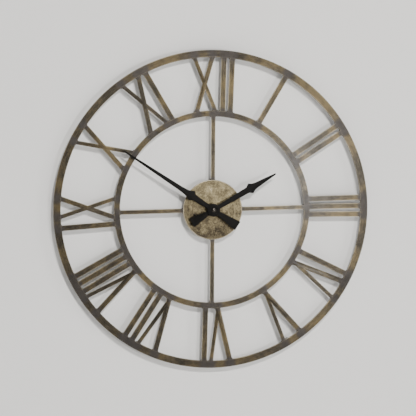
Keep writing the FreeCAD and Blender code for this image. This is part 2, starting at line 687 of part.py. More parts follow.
def make_going_train():
    """The wheels between the motor and the centre wheel, each one level further from the wall."""
    third_way = math.radians(size("third_angle"))
    middle_way = math.radians(size("middle_angle"))
    rotor_way = math.radians(size("rotor_angle"))
    slow = mesh_module("third_reach", "centre_teeth", "leaves")
    quick = mesh_module("third_reach", "third_teeth", "leaves")
    second = mesh_module("middle_reach", "second_teeth", "leaves")
    fast = mesh_module("rotor_reach", "middle_teeth", "leaves")
    pinion_spare = 0.1

    rim = toothed("centre_teeth", slow, "centre_back", "thin_t", third_way)
    hub_bore = turned("minute_seat + 0.07", "centre_back - 1", "centre_back + 2")
    wheel("centre_wheel", [rim], bore=hub_bore)

    back_again = third_way + math.pi
    small = toothed("leaves", slow, f"centre_back - {pinion_spare}", "wheel_t", facing("leaves", back_again))
    large = toothed("third_teeth", quick, "third_back", "thin_t", facing("third_teeth", back_again))
    arbor = turned("third_rod", "pivot_back", "case_front - floor_t + 0.6")
    wheel("third_wheel", [small, large, arbor], third_axis)

    small = toothed("leaves", quick, f"third_back - {pinion_spare}", "wheel_t", third_way)
    large = toothed("second_teeth", second, "second_back", "thin_t", middle_way)
    arbor = turned("second_rod", "pivot_back", "minute_back - 0.2")
    wheel("second_wheel", [small, large, arbor])

    back_again = middle_way + math.pi
    start = f"second_back - {pinion_spare}"
    small = toothed("leaves", second, start, "wheel_t", facing("leaves", back_again))
    large = toothed("middle_teeth", fast, "middle_wheel_back", "thin_t", rotor_way)
    arbor = turned("fine_rod", "pivot_back", "middle_back + middle_t - 0.2")
    wheel("intermediate_wheel", [small, large, arbor], middle_axis)

    back_again = rotor_way + math.pi
    start = f"middle_wheel_back - {pinion_spare}"
    small = toothed("leaves", fast, start, "wheel_t", facing("leaves", back_again))
    magnet = turned("magnet_r", "stator_back - 0.4", "stator_back + stator_t + 0.4")
    arbor = turned("fine_rod", "pivot_back", "middle_back + middle_t - 0.2")
    wheel("motor_rotor", [small, magnet, arbor], rotor_axis)


def make_motor():
    """The stator, with limbs up to the coil and a round gap for the rotor, and the coil on its bobbin."""
    x, z = rotor_axis
    back = "-(stator_back + stator_t)"
    limb_end = "coil_z + 1"
    yoke = block("yoke", ("stator_len", "stator_t", "5.4"), ("stator_left", back, z - 2.7))
    height = f"{limb_end} - {z}"
    left = block("left_limb", ("stator_limb", "stator_t", height), ("stator_left", back, z))
    right_end = "stator_left + stator_len - stator_limb"
    right = block("right_limb", ("stator_limb", "stator_t", height), (right_end, back, z))
    core = block("core", ("stator_len", "stator_t", "2"), ("stator_left", back, "coil_z - 1"))
    gap = rod("rotor_gap", "magnet_r + 0.4", "4", (x, "-(stator_back - 1)", z))
    keep(cut("motor_stator", join("stator_plate", [yoke, left, right, core]), [gap]), "motor_stator")

    start = "stator_left + stator_limb + 0.2"
    span = "stator_len - 2 * stator_limb - 0.4"
    middle = "-(stator_back + stator_t / 2)"
    barrel = rod("barrel", "coil_core", span, (start, middle, "coil_z"), TO_RIGHT)
    near = rod("near_flange", "flange_r", "flange_t", (start, middle, "coil_z"), TO_RIGHT)
    far_start = f"{start} + {span} - flange_t"
    far = rod("far_flange", "flange_r", "flange_t", (far_start, middle, "coil_z"), TO_RIGHT)
    slot_size = ("stator_len", "stator_t + 0.1", "2.1")
    slot = block("core_slot", slot_size, ("stator_left", f"{back} - 0.05", "coil_z - 1.05"))
    keep(cut("coil_bobbin", join("spool", [barrel, near, far]), [slot]), "coil_bobbin")

    place_of = (f"{start} + flange_t", middle, "coil_z")
    wire = rod("wire", "coil_r", f"{span} - 2 * flange_t", place_of, TO_RIGHT)
    inside = rod("wire_inside", "coil_core", f"{span} - 2 * flange_t", place_of, TO_RIGHT)
    keep(cut("coil_winding", wire, [inside]), "coil_winding")


def make_circuit():
    front = "-(board_back + board_t)"
    keep(block("circuit_board", ("18", "board_t", "9"), ("-25.6", front, "17")), "circuit_board")
    keep(rod("circuit_chip", "2.4", "0.8", ("-20.5", front, "21.5")), "circuit_chip")
    keep(rod("quartz_crystal", "1", "6", ("-15.6", f"{front} - 1", "19.5"), TO_RIGHT), "quartz_crystal")


def make_battery():
    """The cell lying in its bay, and the two spring contacts at its ends."""
    left = "-(cell_len + cell_cap) / 2"
    middle = ("-cell_d", "cell_z")
    body = rod("cell_body", "cell_r", "cell_len", (left, *middle), TO_RIGHT)
    cap = rod("cell_top", "2.7", "cell_len + cell_cap", (left, *middle), TO_RIGHT)
    keep(join("battery_cell", [body, cap]), "battery_cell")
    end = "(cell_len + cell_cap) / 2"
    side = ("0.4", "9", "11")
    low = ("-cell_d - 4.5", "cell_z - 5.5")
    keep(block("contact_positive", side, (end, *low)), "contact_positive")
    plate = block("negative_plate", side, (f"-{end} - 1.3", *low))
    bump = rod("negative_bump", "2.2", "1", (f"-{end} - 1", *middle), TO_RIGHT)
    keep(join("contact_negative", [plate, bump]), "contact_negative")


def write_pieces():
    doc.recompute()
    for thing in doc.Objects:
        if "Invalid" in thing.State or "Error" in thing.State:
            raise RuntimeError(f"{thing.Label} failed to compute: {thing.State}")
    for piece in nodes:
        if piece.Shape.isNull() or not piece.Shape.isValid():
            raise RuntimeError(f"{piece.Label} has no valid shape")
    os.makedirs("parts", exist_ok=True)
    for piece in nodes:
        piece.Shape.exportStep(f"parts/{piece.Label}.step")


fill_sheet()
motion_axis = axis_at("motion_reach", "motion_angle")
third_axis = axis_at("third_reach", "third_angle")
middle_axis = axis_at("middle_reach", "middle_angle")
rotor_axis = axis_at("rotor_reach", "rotor_angle", middle_axis)
make_rings()
make_spokes()
make_numerals()
make_hanger()
make_studs()
make_hands()
make_fixing()
make_case()
make_plates()
make_motion_work()
make_going_train()
make_motor()
make_circuit()
make_battery()
write_pieces()
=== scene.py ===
"""Visible surfaces and finishes of an open-frame wall clock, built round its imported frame.

Lengths are metres, +Z is up, the dial faces -Y and the origin is on the hands' axis at the wall.
Each operator makes one piece or one group of like pieces.
"""

import json
import math

import bmesh
import bpy
import numpy as np
from bpy.props import FloatProperty, FloatVectorProperty, IntProperty, PointerProperty
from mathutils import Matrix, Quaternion, Vector


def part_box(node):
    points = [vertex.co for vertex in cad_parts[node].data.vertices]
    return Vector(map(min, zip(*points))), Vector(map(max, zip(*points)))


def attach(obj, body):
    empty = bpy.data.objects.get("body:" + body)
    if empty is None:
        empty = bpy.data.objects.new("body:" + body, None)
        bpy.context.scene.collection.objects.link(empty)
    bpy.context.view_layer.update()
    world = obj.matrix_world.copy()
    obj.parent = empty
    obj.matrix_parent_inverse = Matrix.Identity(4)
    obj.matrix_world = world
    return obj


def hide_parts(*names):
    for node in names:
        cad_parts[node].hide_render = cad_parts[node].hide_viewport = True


bl_info = {
    "name": "Open-frame wall clock",
    "version": (1, 0, 0),
    "blender": (4, 5, 0),
    "location": "3D View > Sidebar > Clock",
    "description": "Makes the rings, numerals, hands, movement and finishes of a wall clock",
    "category": "Object",
}

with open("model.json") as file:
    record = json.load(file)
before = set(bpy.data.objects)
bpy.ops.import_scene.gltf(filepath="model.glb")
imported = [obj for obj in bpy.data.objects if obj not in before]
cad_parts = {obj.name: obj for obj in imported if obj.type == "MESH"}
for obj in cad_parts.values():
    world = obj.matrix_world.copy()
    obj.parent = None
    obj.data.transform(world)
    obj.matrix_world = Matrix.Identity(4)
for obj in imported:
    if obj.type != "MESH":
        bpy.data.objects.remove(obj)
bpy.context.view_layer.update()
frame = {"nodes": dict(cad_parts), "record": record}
NODES = frame["nodes"]

MM = 0.001
NUMERALS = [f"numeral_{hour:02d}" for hour in range(1, 13)]
SPOKES = ["spoke_top", "spoke_right", "spoke_bottom", "spoke_left"]


# Measures read from the frame


def points_of(node):
    """The corners of a node's mesh as rows of x, y and z."""
    mesh = NODES[node].data
    places = np.empty(len(mesh.vertices) * 3, np.float32)
    mesh.vertices.foreach_get("co", places)
    return places.reshape(-1, 3).astype(float)


def radii(node):
    """The least and greatest distance of a node's corners from the hands' axis."""
    places = points_of(node)
    reach = np.hypot(places[:, 0], places[:, 2])
    return float(reach.min()), float(reach.max())


def depths(node):
    """Where a node's front and its back are along Y."""
    low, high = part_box(node)
    return low.y, high.y


def middle(node):
    """The middle of a node's box."""
    low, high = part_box(node)
    return (low + high) / 2


RIM_IN, RIM_OUT = radii("outer_ring")
HOOP_IN, HOOP_OUT = radii("inner_ring")
DISC_OUT = radii("dial_disc")[1]
BAR_FRONT, BAR_BACK = depths("outer_ring")


# Sizes and colours that a user would change


def length(name, description, default):
    """A size in metres, shown in the scene's own unit."""
    return FloatProperty(
        name=name, description=description, default=default, min=0, unit="LENGTH", precision=5
    )


def colour(name, description, default):
    """A paint or metal colour."""
    return FloatVectorProperty(
        name=name, description=description, default=default, size=3, min=0, max=1, subtype="COLOR"
    )


class ClockSizes(bpy.types.PropertyGroup):
    """Sizes that the frame leaves open."""

    bar_round: length("Bar rounding", "Radius of the edges of rings, numerals and spokes", 0.00035)
    disc_round: length("Disc rounding", "Radius of the dial disc's edge", 0.0005)
    hand_round: length("Hand rounding", "Radius of the edges of the hands", 0.00014)
    case_round: length("Case rounding", "Radius of the movement case's edges", 0.0009)
    bead_size: length("Weld ripple", "Half the width of one ripple of a weld bead", 0.0013)
    bead_step: length("Weld step", "Distance between two ripples of a weld bead", 0.0011)
    weld_reach: length("Ground patch", "How far the ground patch spreads from a joint", 0.007)
    thread_pitch: length("Thread pitch", "Pitch of the threaded bush", 0.00075)
    ring_steps: IntProperty(
        name="Ring steps", description="Flats round each ring", default=720, min=48, max=1440
    )
    knurls: IntProperty(
        name="Knurls", description="Ridges round the setting knob", default=28, min=8, max=80
    )


class ClockColours(bpy.types.PropertyGroup):
    """Colours of the finishes."""

    bronze_dark: colour("Bronze, dark", "Patina in the hollows", (0.0048, 0.0040, 0.0032))
    bronze_mid: colour("Bronze, middle", "Brown body of the patina", (0.0200, 0.0168, 0.0120))
    bronze_light: colour("Bronze, light", "Rubbed patina", (0.060, 0.051, 0.036))
    bronze_gold: colour("Bronze, gold", "Gold that shows where the patina is thin", (0.078, 0.058, 0.027))
    bronze_grey: colour("Bronze, ground", "Greyed metal where a joint was ground", (0.028, 0.0252, 0.0262))
    # Bright edge colour: rubbed metal on edges, and also the painted highlight along every long edge and
    # round the disc's rim.
    bronze_edge: colour("Bronze, edge", "Bright metal on rubbed edges", (0.330, 0.290, 0.215))
    disc_pale: colour("Disc, pale", "Pale gold of the dial disc", (0.188, 0.158, 0.090))
    disc_brown: colour("Disc, brown", "Brown shade on the dial disc", (0.052, 0.041, 0.024))
    enamel: colour("Hand enamel", "Black enamel of the hands", (0.0026, 0.0023, 0.0020))
    plastic_black: colour("Black plastic", "Moulding of the movement case", (0.022, 0.022, 0.024))
    plastic_grey: colour("Grey plastic", "Moulding of the setting knob", (0.30, 0.31, 0.33))
    plastic_natural: colour("Natural plastic", "Unpainted inner mouldings", (0.78, 0.75, 0.66))
    plastic_white: colour("White plastic", "Wheels of the movement", (0.84, 0.84, 0.80))
    brass: colour("Brass", "Turned brass of the fixing", (0.78, 0.58, 0.26))
    # Near-black nut colour: dark plating, darkened further as a painted dark reflection of its surroundings.
    nut: colour("Hand nut", "Aged plating of the nut on the arbor", (0.045, 0.041, 0.037))
    nickel: colour("Nickel", "Plated nut and contacts", (0.72, 0.69, 0.64))
    zinc: colour("Zinc", "Plated steel", (0.55, 0.56, 0.58))
    copper: colour("Copper", "Enamelled winding wire", (0.62, 0.24, 0.09))
    board: colour("Circuit board", "Lacquered laminate", (0.03, 0.17, 0.07))
    jacket: colour("Cell jacket", "Metal jacket of the battery", (0.10, 0.11, 0.13))
    jacket_band: colour("Cell band", "Band round the battery", (0.62, 0.30, 0.08))
    rubber: colour("Rubber", "Gasket and pads", (0.022, 0.022, 0.022))
    wall: colour("Wall", "Backdrop behind the clock", (0.88, 0.885, 0.89))
    floor: colour("Floor", "Floor below the clock", (0.80, 0.79, 0.77))


def sizes():
    """The clock's sizes in this scene."""
    return bpy.context.scene.clock_sizes


def tint(name):
    """One of the clock's colours, as a colour socket takes it."""
    return (*getattr(bpy.context.scene.clock_colours, name), 1.0)


# Node trees


class Value:
    """A socket that can stand in a sum. Each operation adds the Math node that works it out."""

    def __init__(self, owner, socket):
        self.owner = owner
        self.socket = socket

    def __add__(self, other):
        return self.owner.math("ADD", self, other)

    def __sub__(self, other):
        return self.owner.math("SUBTRACT", self, other)

    def __rsub__(self, other):
        return self.owner.math("SUBTRACT", other, self)

    def __mul__(self, other):
        return self.owner.math("MULTIPLY", self, other)

    def __truediv__(self, other):
        return self.owner.math("DIVIDE", self, other)

    def __rtruediv__(self, other):
        return self.owner.math("DIVIDE", other, self)

    def __abs__(self):
        return self.owner.math("ABSOLUTE", self)

    def swing(self, amount):
        """A pattern that runs about 0.5, as an offset about 0 that is amount times as wide."""
        return (self - 0.5) * amount

    __radd__ = __add__
    __rmul__ = __mul__


class Nodes:
    """A node tree that is filled one node at a time."""

    math_node = "ShaderNodeMath"

    def __init__(self, tree):
        self.tree = tree

    def add(self, kind, settings=None, inputs=None, output=0):
        """Adds a node, makes its settings, then fills its sockets, and returns one of its outputs."""
        made = self.tree.nodes.new(kind)
        for name, setting in (settings or {}).items():
            if name == "stops":
                self.set_stops(made.color_ramp, setting)
            else:
                setattr(made, name, setting)
        for key, value in (inputs or {}).items():
            if isinstance(value, Value):
                self.tree.links.new(value.socket, made.inputs[key])
            else:
                made.inputs[key].default_value = value
        return Value(self, made.outputs[output]) if made.outputs else made

    @staticmethod
    def set_stops(ramp, stops):
        """Gives a colour ramp its places and colours."""
        while len(ramp.elements) < len(stops):
            ramp.elements.new(0.5)
        for element, (place, shade) in zip(ramp.elements, stops):
            element.position = place
            element.color = shade

    def math(self, operation, *terms):
        """A Math node on one, two or three terms."""
        return self.add(self.math_node, {"operation": operation}, dict(enumerate(terms)))

    def join(self, x, y, z):
        """A vector from three numbers."""
        return self.add("ShaderNodeCombineXYZ", None, {0: x, 1: y, 2: z})

    def split(self, vector):
        """The three numbers of a vector."""
        parts = self.add("ShaderNodeSeparateXYZ", None, {0: vector})
        return [Value(self, socket) for socket in parts.socket.node.outputs]


class Finish(Nodes):
    """One material. Places and widths in its patterns are millimetres."""

    def __init__(self, name):
        self.material = bpy.data.materials.new(name)
        self.material.use_nodes = True
        super().__init__(self.material.node_tree)
        self.tree.nodes.clear()
        self._place = None

    def place(self):
        """Where a point of the surface is, in millimetres."""
        if self._place is None:
            whole = self.add("ShaderNodeTexCoord", output="Object")
            self._place = self.scaled(whole, 1 / MM)
        return self._place

    def scaled(self, vector, factor):
        """A vector multiplied by a number, or by one number for each axis."""
        by = factor if isinstance(factor, tuple) else (factor,) * 3
        return self.add("ShaderNodeVectorMath", {"operation": "MULTIPLY"}, {0: vector, 1: by})

    def noise(self, vector, size, detail=3.0, roughness=0.5):
        """Soft noise about 0.5, whose patches are about size across."""
        return self.add(
            "ShaderNodeTexNoise",
            {"noise_dimensions": "3D"},
            {"Vector": vector, "Scale": 1 / size, "Detail": detail, "Roughness": roughness},
        )

    def smooth(self, value, start, end, low=0.0, high=1.0):
        """Rises or falls smoothly from low to high as value goes from start to end."""
        return self.add(
            "ShaderNodeMapRange",
            {"interpolation_type": "SMOOTHSTEP"},
            {0: value, 1: start, 2: end, 3: low, 4: high},
        )

    def mix(self, first, second, share):
        """One colour over another."""
        return self.add(
            "ShaderNodeMix",
            {"data_type": "RGBA", "clamp_factor": True},
            {0: share, 6: first, 7: second},
            output=2,
        )

    def shades(self, value, stops):
        """A colour picked from a ramp of places and colours."""
        return self.add("ShaderNodeValToRGB", {"stops": stops}, {0: value})

    def known(self, name, output="Fac"):
        """A named attribute of the piece's own mesh."""
        return self.add("ShaderNodeAttribute", {"attribute_name": name}, output=output)

    def surface(self, bump=None, bump_depth=0.05, **inputs):
        """Ends the tree in one shader. Inputs are named after its sockets, with _ for a space."""
        sockets = {name.replace("_", " "): value for name, value in inputs.items()}
        if bump is not None:
            sockets["Normal"] = self.add(
                "ShaderNodeBump", None, {"Strength": 1.0, "Distance": bump_depth * MM, "Height": bump}
            )
        shader = self.add("ShaderNodeBsdfPrincipled", None, sockets)
        self.add("ShaderNodeOutputMaterial", None, {"Surface": shader})
        return self.material


class Shape(Nodes):
    """A Geometry Nodes tree with named inputs, run once on a start mesh to give a plain mesh."""

    def __init__(self, name, inputs):
        super().__init__(bpy.data.node_groups.new(name, "GeometryNodeTree"))
        face = self.tree.interface
        face.new_socket("Geometry", in_out="OUTPUT", socket_type="NodeSocketGeometry")
        self.sockets = {}
        for label, kind in (("Start", "Geometry"), *inputs, ("Material", "Material")):
            made = face.new_socket(label, in_out="INPUT", socket_type="NodeSocket" + kind)
            self.sockets[label] = made.identifier
        self.start = self.tree.nodes.new("NodeGroupInput")

    def given(self, label):
        """One of the tree's named inputs."""
        return Value(self, self.start.outputs[label])

    def circle(self, steps, radius):
        """A circle round Z with a number of flats."""
        return self.add(
            "GeometryNodeCurvePrimitiveCircle", {"mode": "RADIUS"}, {"Resolution": steps, "Radius": radius}
        )

    def swept(self, line, section):
        """A section swept along a line, with its ends closed."""
        return self.add("GeometryNodeCurveToMesh", None, {0: line, 1: section, "Fill Caps": True})

    def stood(self, geometry, place):
        """Geometry that was made round Z, turned to lie round Y and moved to a place."""
        turn = (math.radians(90), 0.0, 0.0)
        return self.add(
            "GeometryNodeTransform", None, {"Geometry": geometry, "Translation": place, "Rotation": turn}
        )

    def close(self, geometry):
        """Ends the tree: instances become mesh and take the material."""
        real = self.add("GeometryNodeRealizeInstances", None, {0: geometry})
        done = self.add(
            "GeometryNodeSetMaterial", None, {"Geometry": real, "Material": self.given("Material")}
        )
        end = self.tree.nodes.new("NodeGroupOutput")
        self.tree.links.new(done.socket, end.inputs[0])

    def run(self, name, start, material, **values):
        """A plain mesh object that the tree makes from a start mesh and its input values."""
        piece = new_piece(name, start)
        modifier = piece.modifiers.new("Shape", "NODES")
        modifier.node_group = self.tree
        modifier[self.sockets["Material"]] = material
        for label, value in values.items():
            modifier[self.sockets[label.replace("_", " ")]] = value
        settle(piece)
        paint(piece, material)
        return piece


# Meshes


def new_piece(name, mesh):
    """An object at the origin that holds a mesh."""
    piece = bpy.data.objects.new(name, mesh)
    bpy.context.scene.collection.objects.link(piece)
    return piece


def settle(piece):
    """Turns a piece's modifiers into plain mesh."""
    graph = bpy.context.evaluated_depsgraph_get()
    final = bpy.data.meshes.new_from_object(piece.evaluated_get(graph), depsgraph=graph)
    piece.modifiers.clear()
    piece.data = final
    if not final.polygons:
        raise RuntimeError(f"{piece.name} came out empty")


def mesh_from(work, name, outward=True):
    """Closes a bmesh into a mesh, with its doubles merged and its faces turned outward."""
    bmesh.ops.remove_doubles(work, verts=work.verts, dist=1e-7)
    if outward:
        bmesh.ops.recalc_face_normals(work, faces=work.faces)
    mesh = bpy.data.meshes.new(name)
    work.to_mesh(mesh)
    work.free()
    return mesh


def shade(piece, angle=35):
    """Smooth shading, broken at edges that turn by more than an angle."""
    mesh = piece.data
    mesh.polygons.foreach_set("use_smooth", [True] * len(mesh.polygons))
    mesh.set_sharp_from_angle(angle=math.radians(angle))


def paint(piece, material):
    """Gives a piece its only material."""
    piece.data.materials.clear()
    piece.data.materials.append(material)
    piece.data.polygons.foreach_set("material_index", [0] * len(piece.data.polygons))


def fit(piece, body, slot, *nodes):
    """Rides a finished piece on its body and hides the nodes that it stands for. The slot is not used."""
    if not piece.data.materials or piece.data.materials[0] is None:
        raise RuntimeError(f"{piece.name} has no finish")
    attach(piece, body)
    if nodes:
        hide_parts(*nodes)


def merged(node):
    """A bmesh of a node with its corners merged and its flat faces joined."""
    work = bmesh.new()
    work.from_mesh(NODES[node].data)
    bmesh.ops.remove_doubles(work, verts=work.verts, dist=1e-6)
    bmesh.ops.dissolve_limit(
        work,
        angle_limit=math.radians(0.3),
        use_dissolve_boundaries=False,
        verts=work.verts,
        edges=work.edges,
        delimit={"NORMAL"},
    )
    return work


def islands(work):
    """The separate solids of a bmesh, each a list of corners, in the order of their first corner."""
    seen, groups = set(), []
    for first in work.verts:
        if first in seen:
            continue
        seen.add(first)
        group, front = [first], [first]
        while front:
            vertex = front.pop()
            for edge in vertex.link_edges:
                other = edge.other_vert(vertex)
                if other not in seen:
                    seen.add(other)
                    group.append(other)
                    front.append(other)
        groups.append(group)
    return groups


def islands_of(node):
    """The separate solids of a node as lists of corner places."""
    work = merged(node)
    found = [[vertex.co.copy() for vertex in group] for group in islands(work)]
    work.free()
    return found


def weigh_edges(work, keep=None, angle=40):
    """Marks the sharp edges of a bmesh for rounding. Those that keep refuses stay crisp."""
    layer = work.edges.layers.float.new("bevel_weight_edge")
    for edge in work.edges:
        if len(edge.link_faces) != 2 or edge.calc_face_angle(0) < math.radians(angle):
            continue
        if keep is None or keep(edge):
            edge[layer] = 1.0
        else:
            edge.smooth = False


def round_edges(piece, width, steps=3):
    """Rounds a piece's weighed edges and keeps its flats flat."""
    piece.data.polygons.foreach_set("use_smooth", [True] * len(piece.data.polygons))
    bevel = piece.modifiers.new("Rounding", "BEVEL")
    bevel.limit_method = "WEIGHT"
    bevel.width = width
    bevel.segments = steps
    bevel.use_clamp_overlap = False
    bevel.harden_normals = True
    settle(piece)


def softened(name, node, width, material, steps=3, keep=None):
    """A piece in the shape of a node, with its sharp edges rounded."""
    work = merged(node)
    weigh_edges(work, keep)
    piece = new_piece(name, mesh_from(work, name, outward=False))
    round_edges(piece, width, steps)
    paint(piece, material)
    return piece


def soften(piece, width):
    """Rounds the sharp edges of a finished piece."""
    work = bmesh.new()
    work.from_mesh(piece.data)
    weigh_edges(work)
    work.to_mesh(piece.data)
    work.free()
    round_edges(piece, width)


def turned(name, profile, centre, along="Y", steps=96):
    """A turned mesh: a profile of (radius, place along the axis) goes round an axis through centre.

    A profile that starts and ends on the axis is a solid, and any other profile is closed on itself.
    """
    solid = profile[0][0] == 0 and profile[-1][0] == 0
    work = bmesh.new()
    rows = []
    for radius, place in profile:
        row = []
        for step in range(1 if radius == 0 else steps):
            turn = math.tau * step / steps
            one, two = radius * math.cos(turn), radius * math.sin(turn)
            if along == "Y":
                spot = (centre[0] + one, place, centre[2] + two)
            else:
                spot = (place, centre[1] + one, centre[2] + two)
            row.append(work.verts.new(spot))
        rows.append(row)
    pairs = list(zip(rows, rows[1:] if solid else rows[1:] + rows[:1]))
    for near, far in pairs:
        for step in range(steps):
            after = (step + 1) % steps
            if len(near) == 1 and len(far) == 1:
                continue
            if len(near) == 1:
                work.faces.new((near[0], far[step], far[after]))
            elif len(far) == 1:
                work.faces.new((near[step], near[after], far[0]))
            else:
                work.faces.new((near[step], near[after], far[after], far[step]))
    return mesh_from(work, name)


def shaded_piece(name, mesh, material, angle=35):
    """A piece from a mesh, shaded smooth between its sharp edges, with its finish."""
    piece = new_piece(name, mesh)
    shade(piece, angle)
    paint(piece, material)
    return piece


def turned_piece(name, profile, centre, material, along="Y", steps=96, angle=35):
    """A turned piece with its finish."""
    return shaded_piece(name, turned(name, profile, centre, along, steps), material, angle)


def arc(centre, radius, start, end, steps=4):
    """Points of a rounded corner in a profile, from one angle to another in degrees."""
    turns = [math.radians(start + (end - start) * step / steps) for step in range(steps + 1)]
    return [(centre[0] + radius * math.cos(t), centre[1] + radius * math.sin(t)) for t in turns]


def joined(name, meshes):
    """One mesh from several."""
    work = bmesh.new()
    for mesh in meshes:
        work.from_mesh(mesh)
    return mesh_from(work, name, outward=False)


# Joints between bars and rings


def clusters(angles, gap=math.radians(1.0)):
    """Groups sorted angles into (first, last) pairs wherever two neighbours are far apart."""
    groups = []
    for angle in sorted(angles):
        if groups and angle - groups[-1][1] < gap:
            groups[-1][1] = angle
        else:
            groups.append([angle, angle])
    return [tuple(group) for group in groups]


def joints_at(radius, nodes):
    """The angles between which each bar of the nodes meets a circle about the hands' axis."""
    found = []
    for node in nodes:
        start = math.atan2(middle(node).z, middle(node).x)
        for island in islands_of(node):
            found += clusters(turns_of(island, radius, start))
    return found


def turns_of(places, radius, start):
    """Angles of the places that lie on a circle, kept within half a turn of start."""
    turns = []
    for place in places:
        if abs(math.hypot(place.x, place.z) - radius) < 0.05 * MM:
            turn = math.atan2(place.z, place.x)
            turns.append(start + (turn - start + math.pi) % math.tau - math.pi)
    return turns


# Finishes


def bronze(name, streaks, edge_gap, weld):
    """Antique bronze: brushed patina, thin gold patches, grey ground joints, rubbed edges that also carry a
    painted highlight, thin lacquer.

    streaks gives the place for brush marks from their slow and their fast rate of change, edge_gap
    the distance to the nearest long edge and weld how much of a point was ground.
    """
    finish = Finish(name)
    place = finish.place()
    patch = finish.noise(place, 34.0, 3.0, 0.55)
    cloud = finish.noise(place, 7.5, 5.0, 0.62)
    speck = finish.noise(place, 1.3, 3.0, 0.6)
    hatch = hatching(finish, place)
    long_marks = finish.noise(streaks(finish, 0.05, 0.95), 1.0, 4.0, 0.6)
    fine_marks = finish.noise(streaks(finish, 0.16, 1.9), 1.0, 3.0, 0.65)
    ground = weld(finish) * finish.smooth(cloud, 0.30, 0.55, 0.55, 1.0)

    tone = 0.5 + cloud.swing(0.45) + long_marks.swing(0.5) + fine_marks.swing(1.1)
    tone = tone + patch.swing(0.3) + speck.swing(0.7) + hatch.swing(0.45)
    body = finish.shades(
        tone,
        [
            (0.16, tint("bronze_dark")),
            (0.46, tint("bronze_mid")),
            (0.80, tint("bronze_light")),
        ],
    )
    thin = finish.smooth(patch + long_marks.swing(0.35) + hatch.swing(0.12), 0.40, 0.70)
    thin = thin * (1 - ground)
    body = finish.mix(body, tint("bronze_gold"), thin * finish.smooth(tone, 0.20, 0.75, 0.25, 0.85))
    body = finish.mix(body, tint("bronze_grey"), ground * 0.62)

    gap = edge_gap(finish) + cloud.swing(1.3) + fine_marks.swing(0.7)
    # The bright edge band is partly rubbed metal and partly a painted highlight, laid along every long edge.
    worn_and_highlit = finish.smooth(gap, 0.95, 0.25) * finish.smooth(patch, 0.36, 0.60, 0.5, 1.0)
    body = finish.mix(body, tint("bronze_edge"), worn_and_highlit * (1 - ground * 0.5) * 0.58)

    rough = 0.34 - tone.swing(0.18) + fine_marks.swing(0.12) + ground * 0.05
    return finish.surface(
        bump=long_marks * 0.5 + fine_marks * 0.6 + cloud * 0.9,
        bump_depth=0.10,
        Base_Color=body,
        Metallic=0.76 - ground * 0.12,
        Specular_IOR_Level=0.25,
        Roughness=rough,
        Coat_Weight=0.03 + cloud.swing(0.04),
        Coat_Roughness=0.15,
    )


def hatching(finish, place):
    """Short scratches that cross each other at an angle."""
    x, y, z = finish.split(place)
    up = finish.noise(finish.join((x + z) * 0.16, (x - z) * 1.5, y), 1.0, 2.0)
    down = finish.noise(finish.join((x + z) * 1.3, (x - z) * 0.14, y + 7.0), 1.0, 2.0)
    return finish.math("MAXIMUM", up, down)


def thickness_gap(finish, y):
    """How far a point is from the front and back faces of a bar, in mm."""
    near = finish.math("MINIMUM", y - BAR_FRONT / MM, BAR_BACK / MM - y)
    return finish.math("MAXIMUM", near, 0.0)


def bar_lines(finish):
    """Along, across, depth, distance inside the edges and choice of line, for straight bars."""
    x, y, z = finish.split(finish.place())
    found = []
    for name in ("line_a", "line_b"):
        way_x, way_z, offset = finish.split(finish.known(name, "Vector"))
        along = x * way_x + z * way_z
        across = z * way_x - x * way_z - offset
        found.append((along, across, finish.known(name + "_half") - abs(across)))
    (along_a, across_a, in_a), (along_b, across_b, in_b) = found
    second = finish.math("GREATER_THAN", in_b, in_a)
    along = along_a + (along_b - along_a) * second
    across = across_a + (across_b - across_a) * second
    inside = finish.math("MAXIMUM", finish.math("MAXIMUM", in_a, in_b), 0.0)
    return along, across, y, inside, second


def bar_bronze():
    """Bronze for straight bars, brushed along each bar."""

    def streaks(finish, slow, fast):
        along, across, y, _, second = bar_lines(finish)
        side = y * fast + (finish.known("seed") + second) * 40.0
        return finish.join(along * slow, across * fast, side)

    def gap(finish):
        _, _, y, inside, _ = bar_lines(finish)
        return finish.math("MAXIMUM", inside, thickness_gap(finish, y))

    def weld(finish):
        reach = polar(finish)[2]
        wide = sizes().weld_reach / MM
        total = 0.0
        for radius in (RIM_IN, HOOP_OUT, HOOP_IN, DISC_OUT):
            here = finish.smooth(abs(reach - radius / MM), wide, 0.2 * wide)
            total = finish.math("MAXIMUM", here, total)
        return total

    return bronze("brushed_bronze_bars", streaks, gap, weld)


def polar(finish):
    """The direction from the hands' axis as two numbers, the distance from it, and the depth."""
    x, y, z = finish.split(finish.place())
    reach = finish.math("SQRT", x * x + z * z)
    return x / reach, z / reach, reach, y


def ring_bronze(name, inner, outer):
    """Bronze for a ring between two radii, brushed along its curve."""

    def streaks(finish, slow, fast):
        way_x, way_z, reach, y = polar(finish)
        along = (inner + outer) / 2 / MM * slow
        return finish.join(way_x * along, way_z * along, (reach + y) * fast)

    def gap(finish):
        _, _, reach, y = polar(finish)
        inside = finish.math("MINIMUM", reach - inner / MM, outer / MM - reach)
        inside = finish.math("MAXIMUM", inside, 0.0)
        return finish.math("MAXIMUM", inside, thickness_gap(finish, y))

    return bronze(name, streaks, gap, lambda finish: finish.known("weld"))


def fittings_bronze():
    """Bronze for the small fittings behind the rings, with no brush direction of its own."""

    def streaks(finish, slow, fast):
        return finish.scaled(finish.place(), (slow * 2, fast, fast))

    return bronze("bronze_fittings", streaks, lambda finish: 2.0, lambda finish: 0.0)


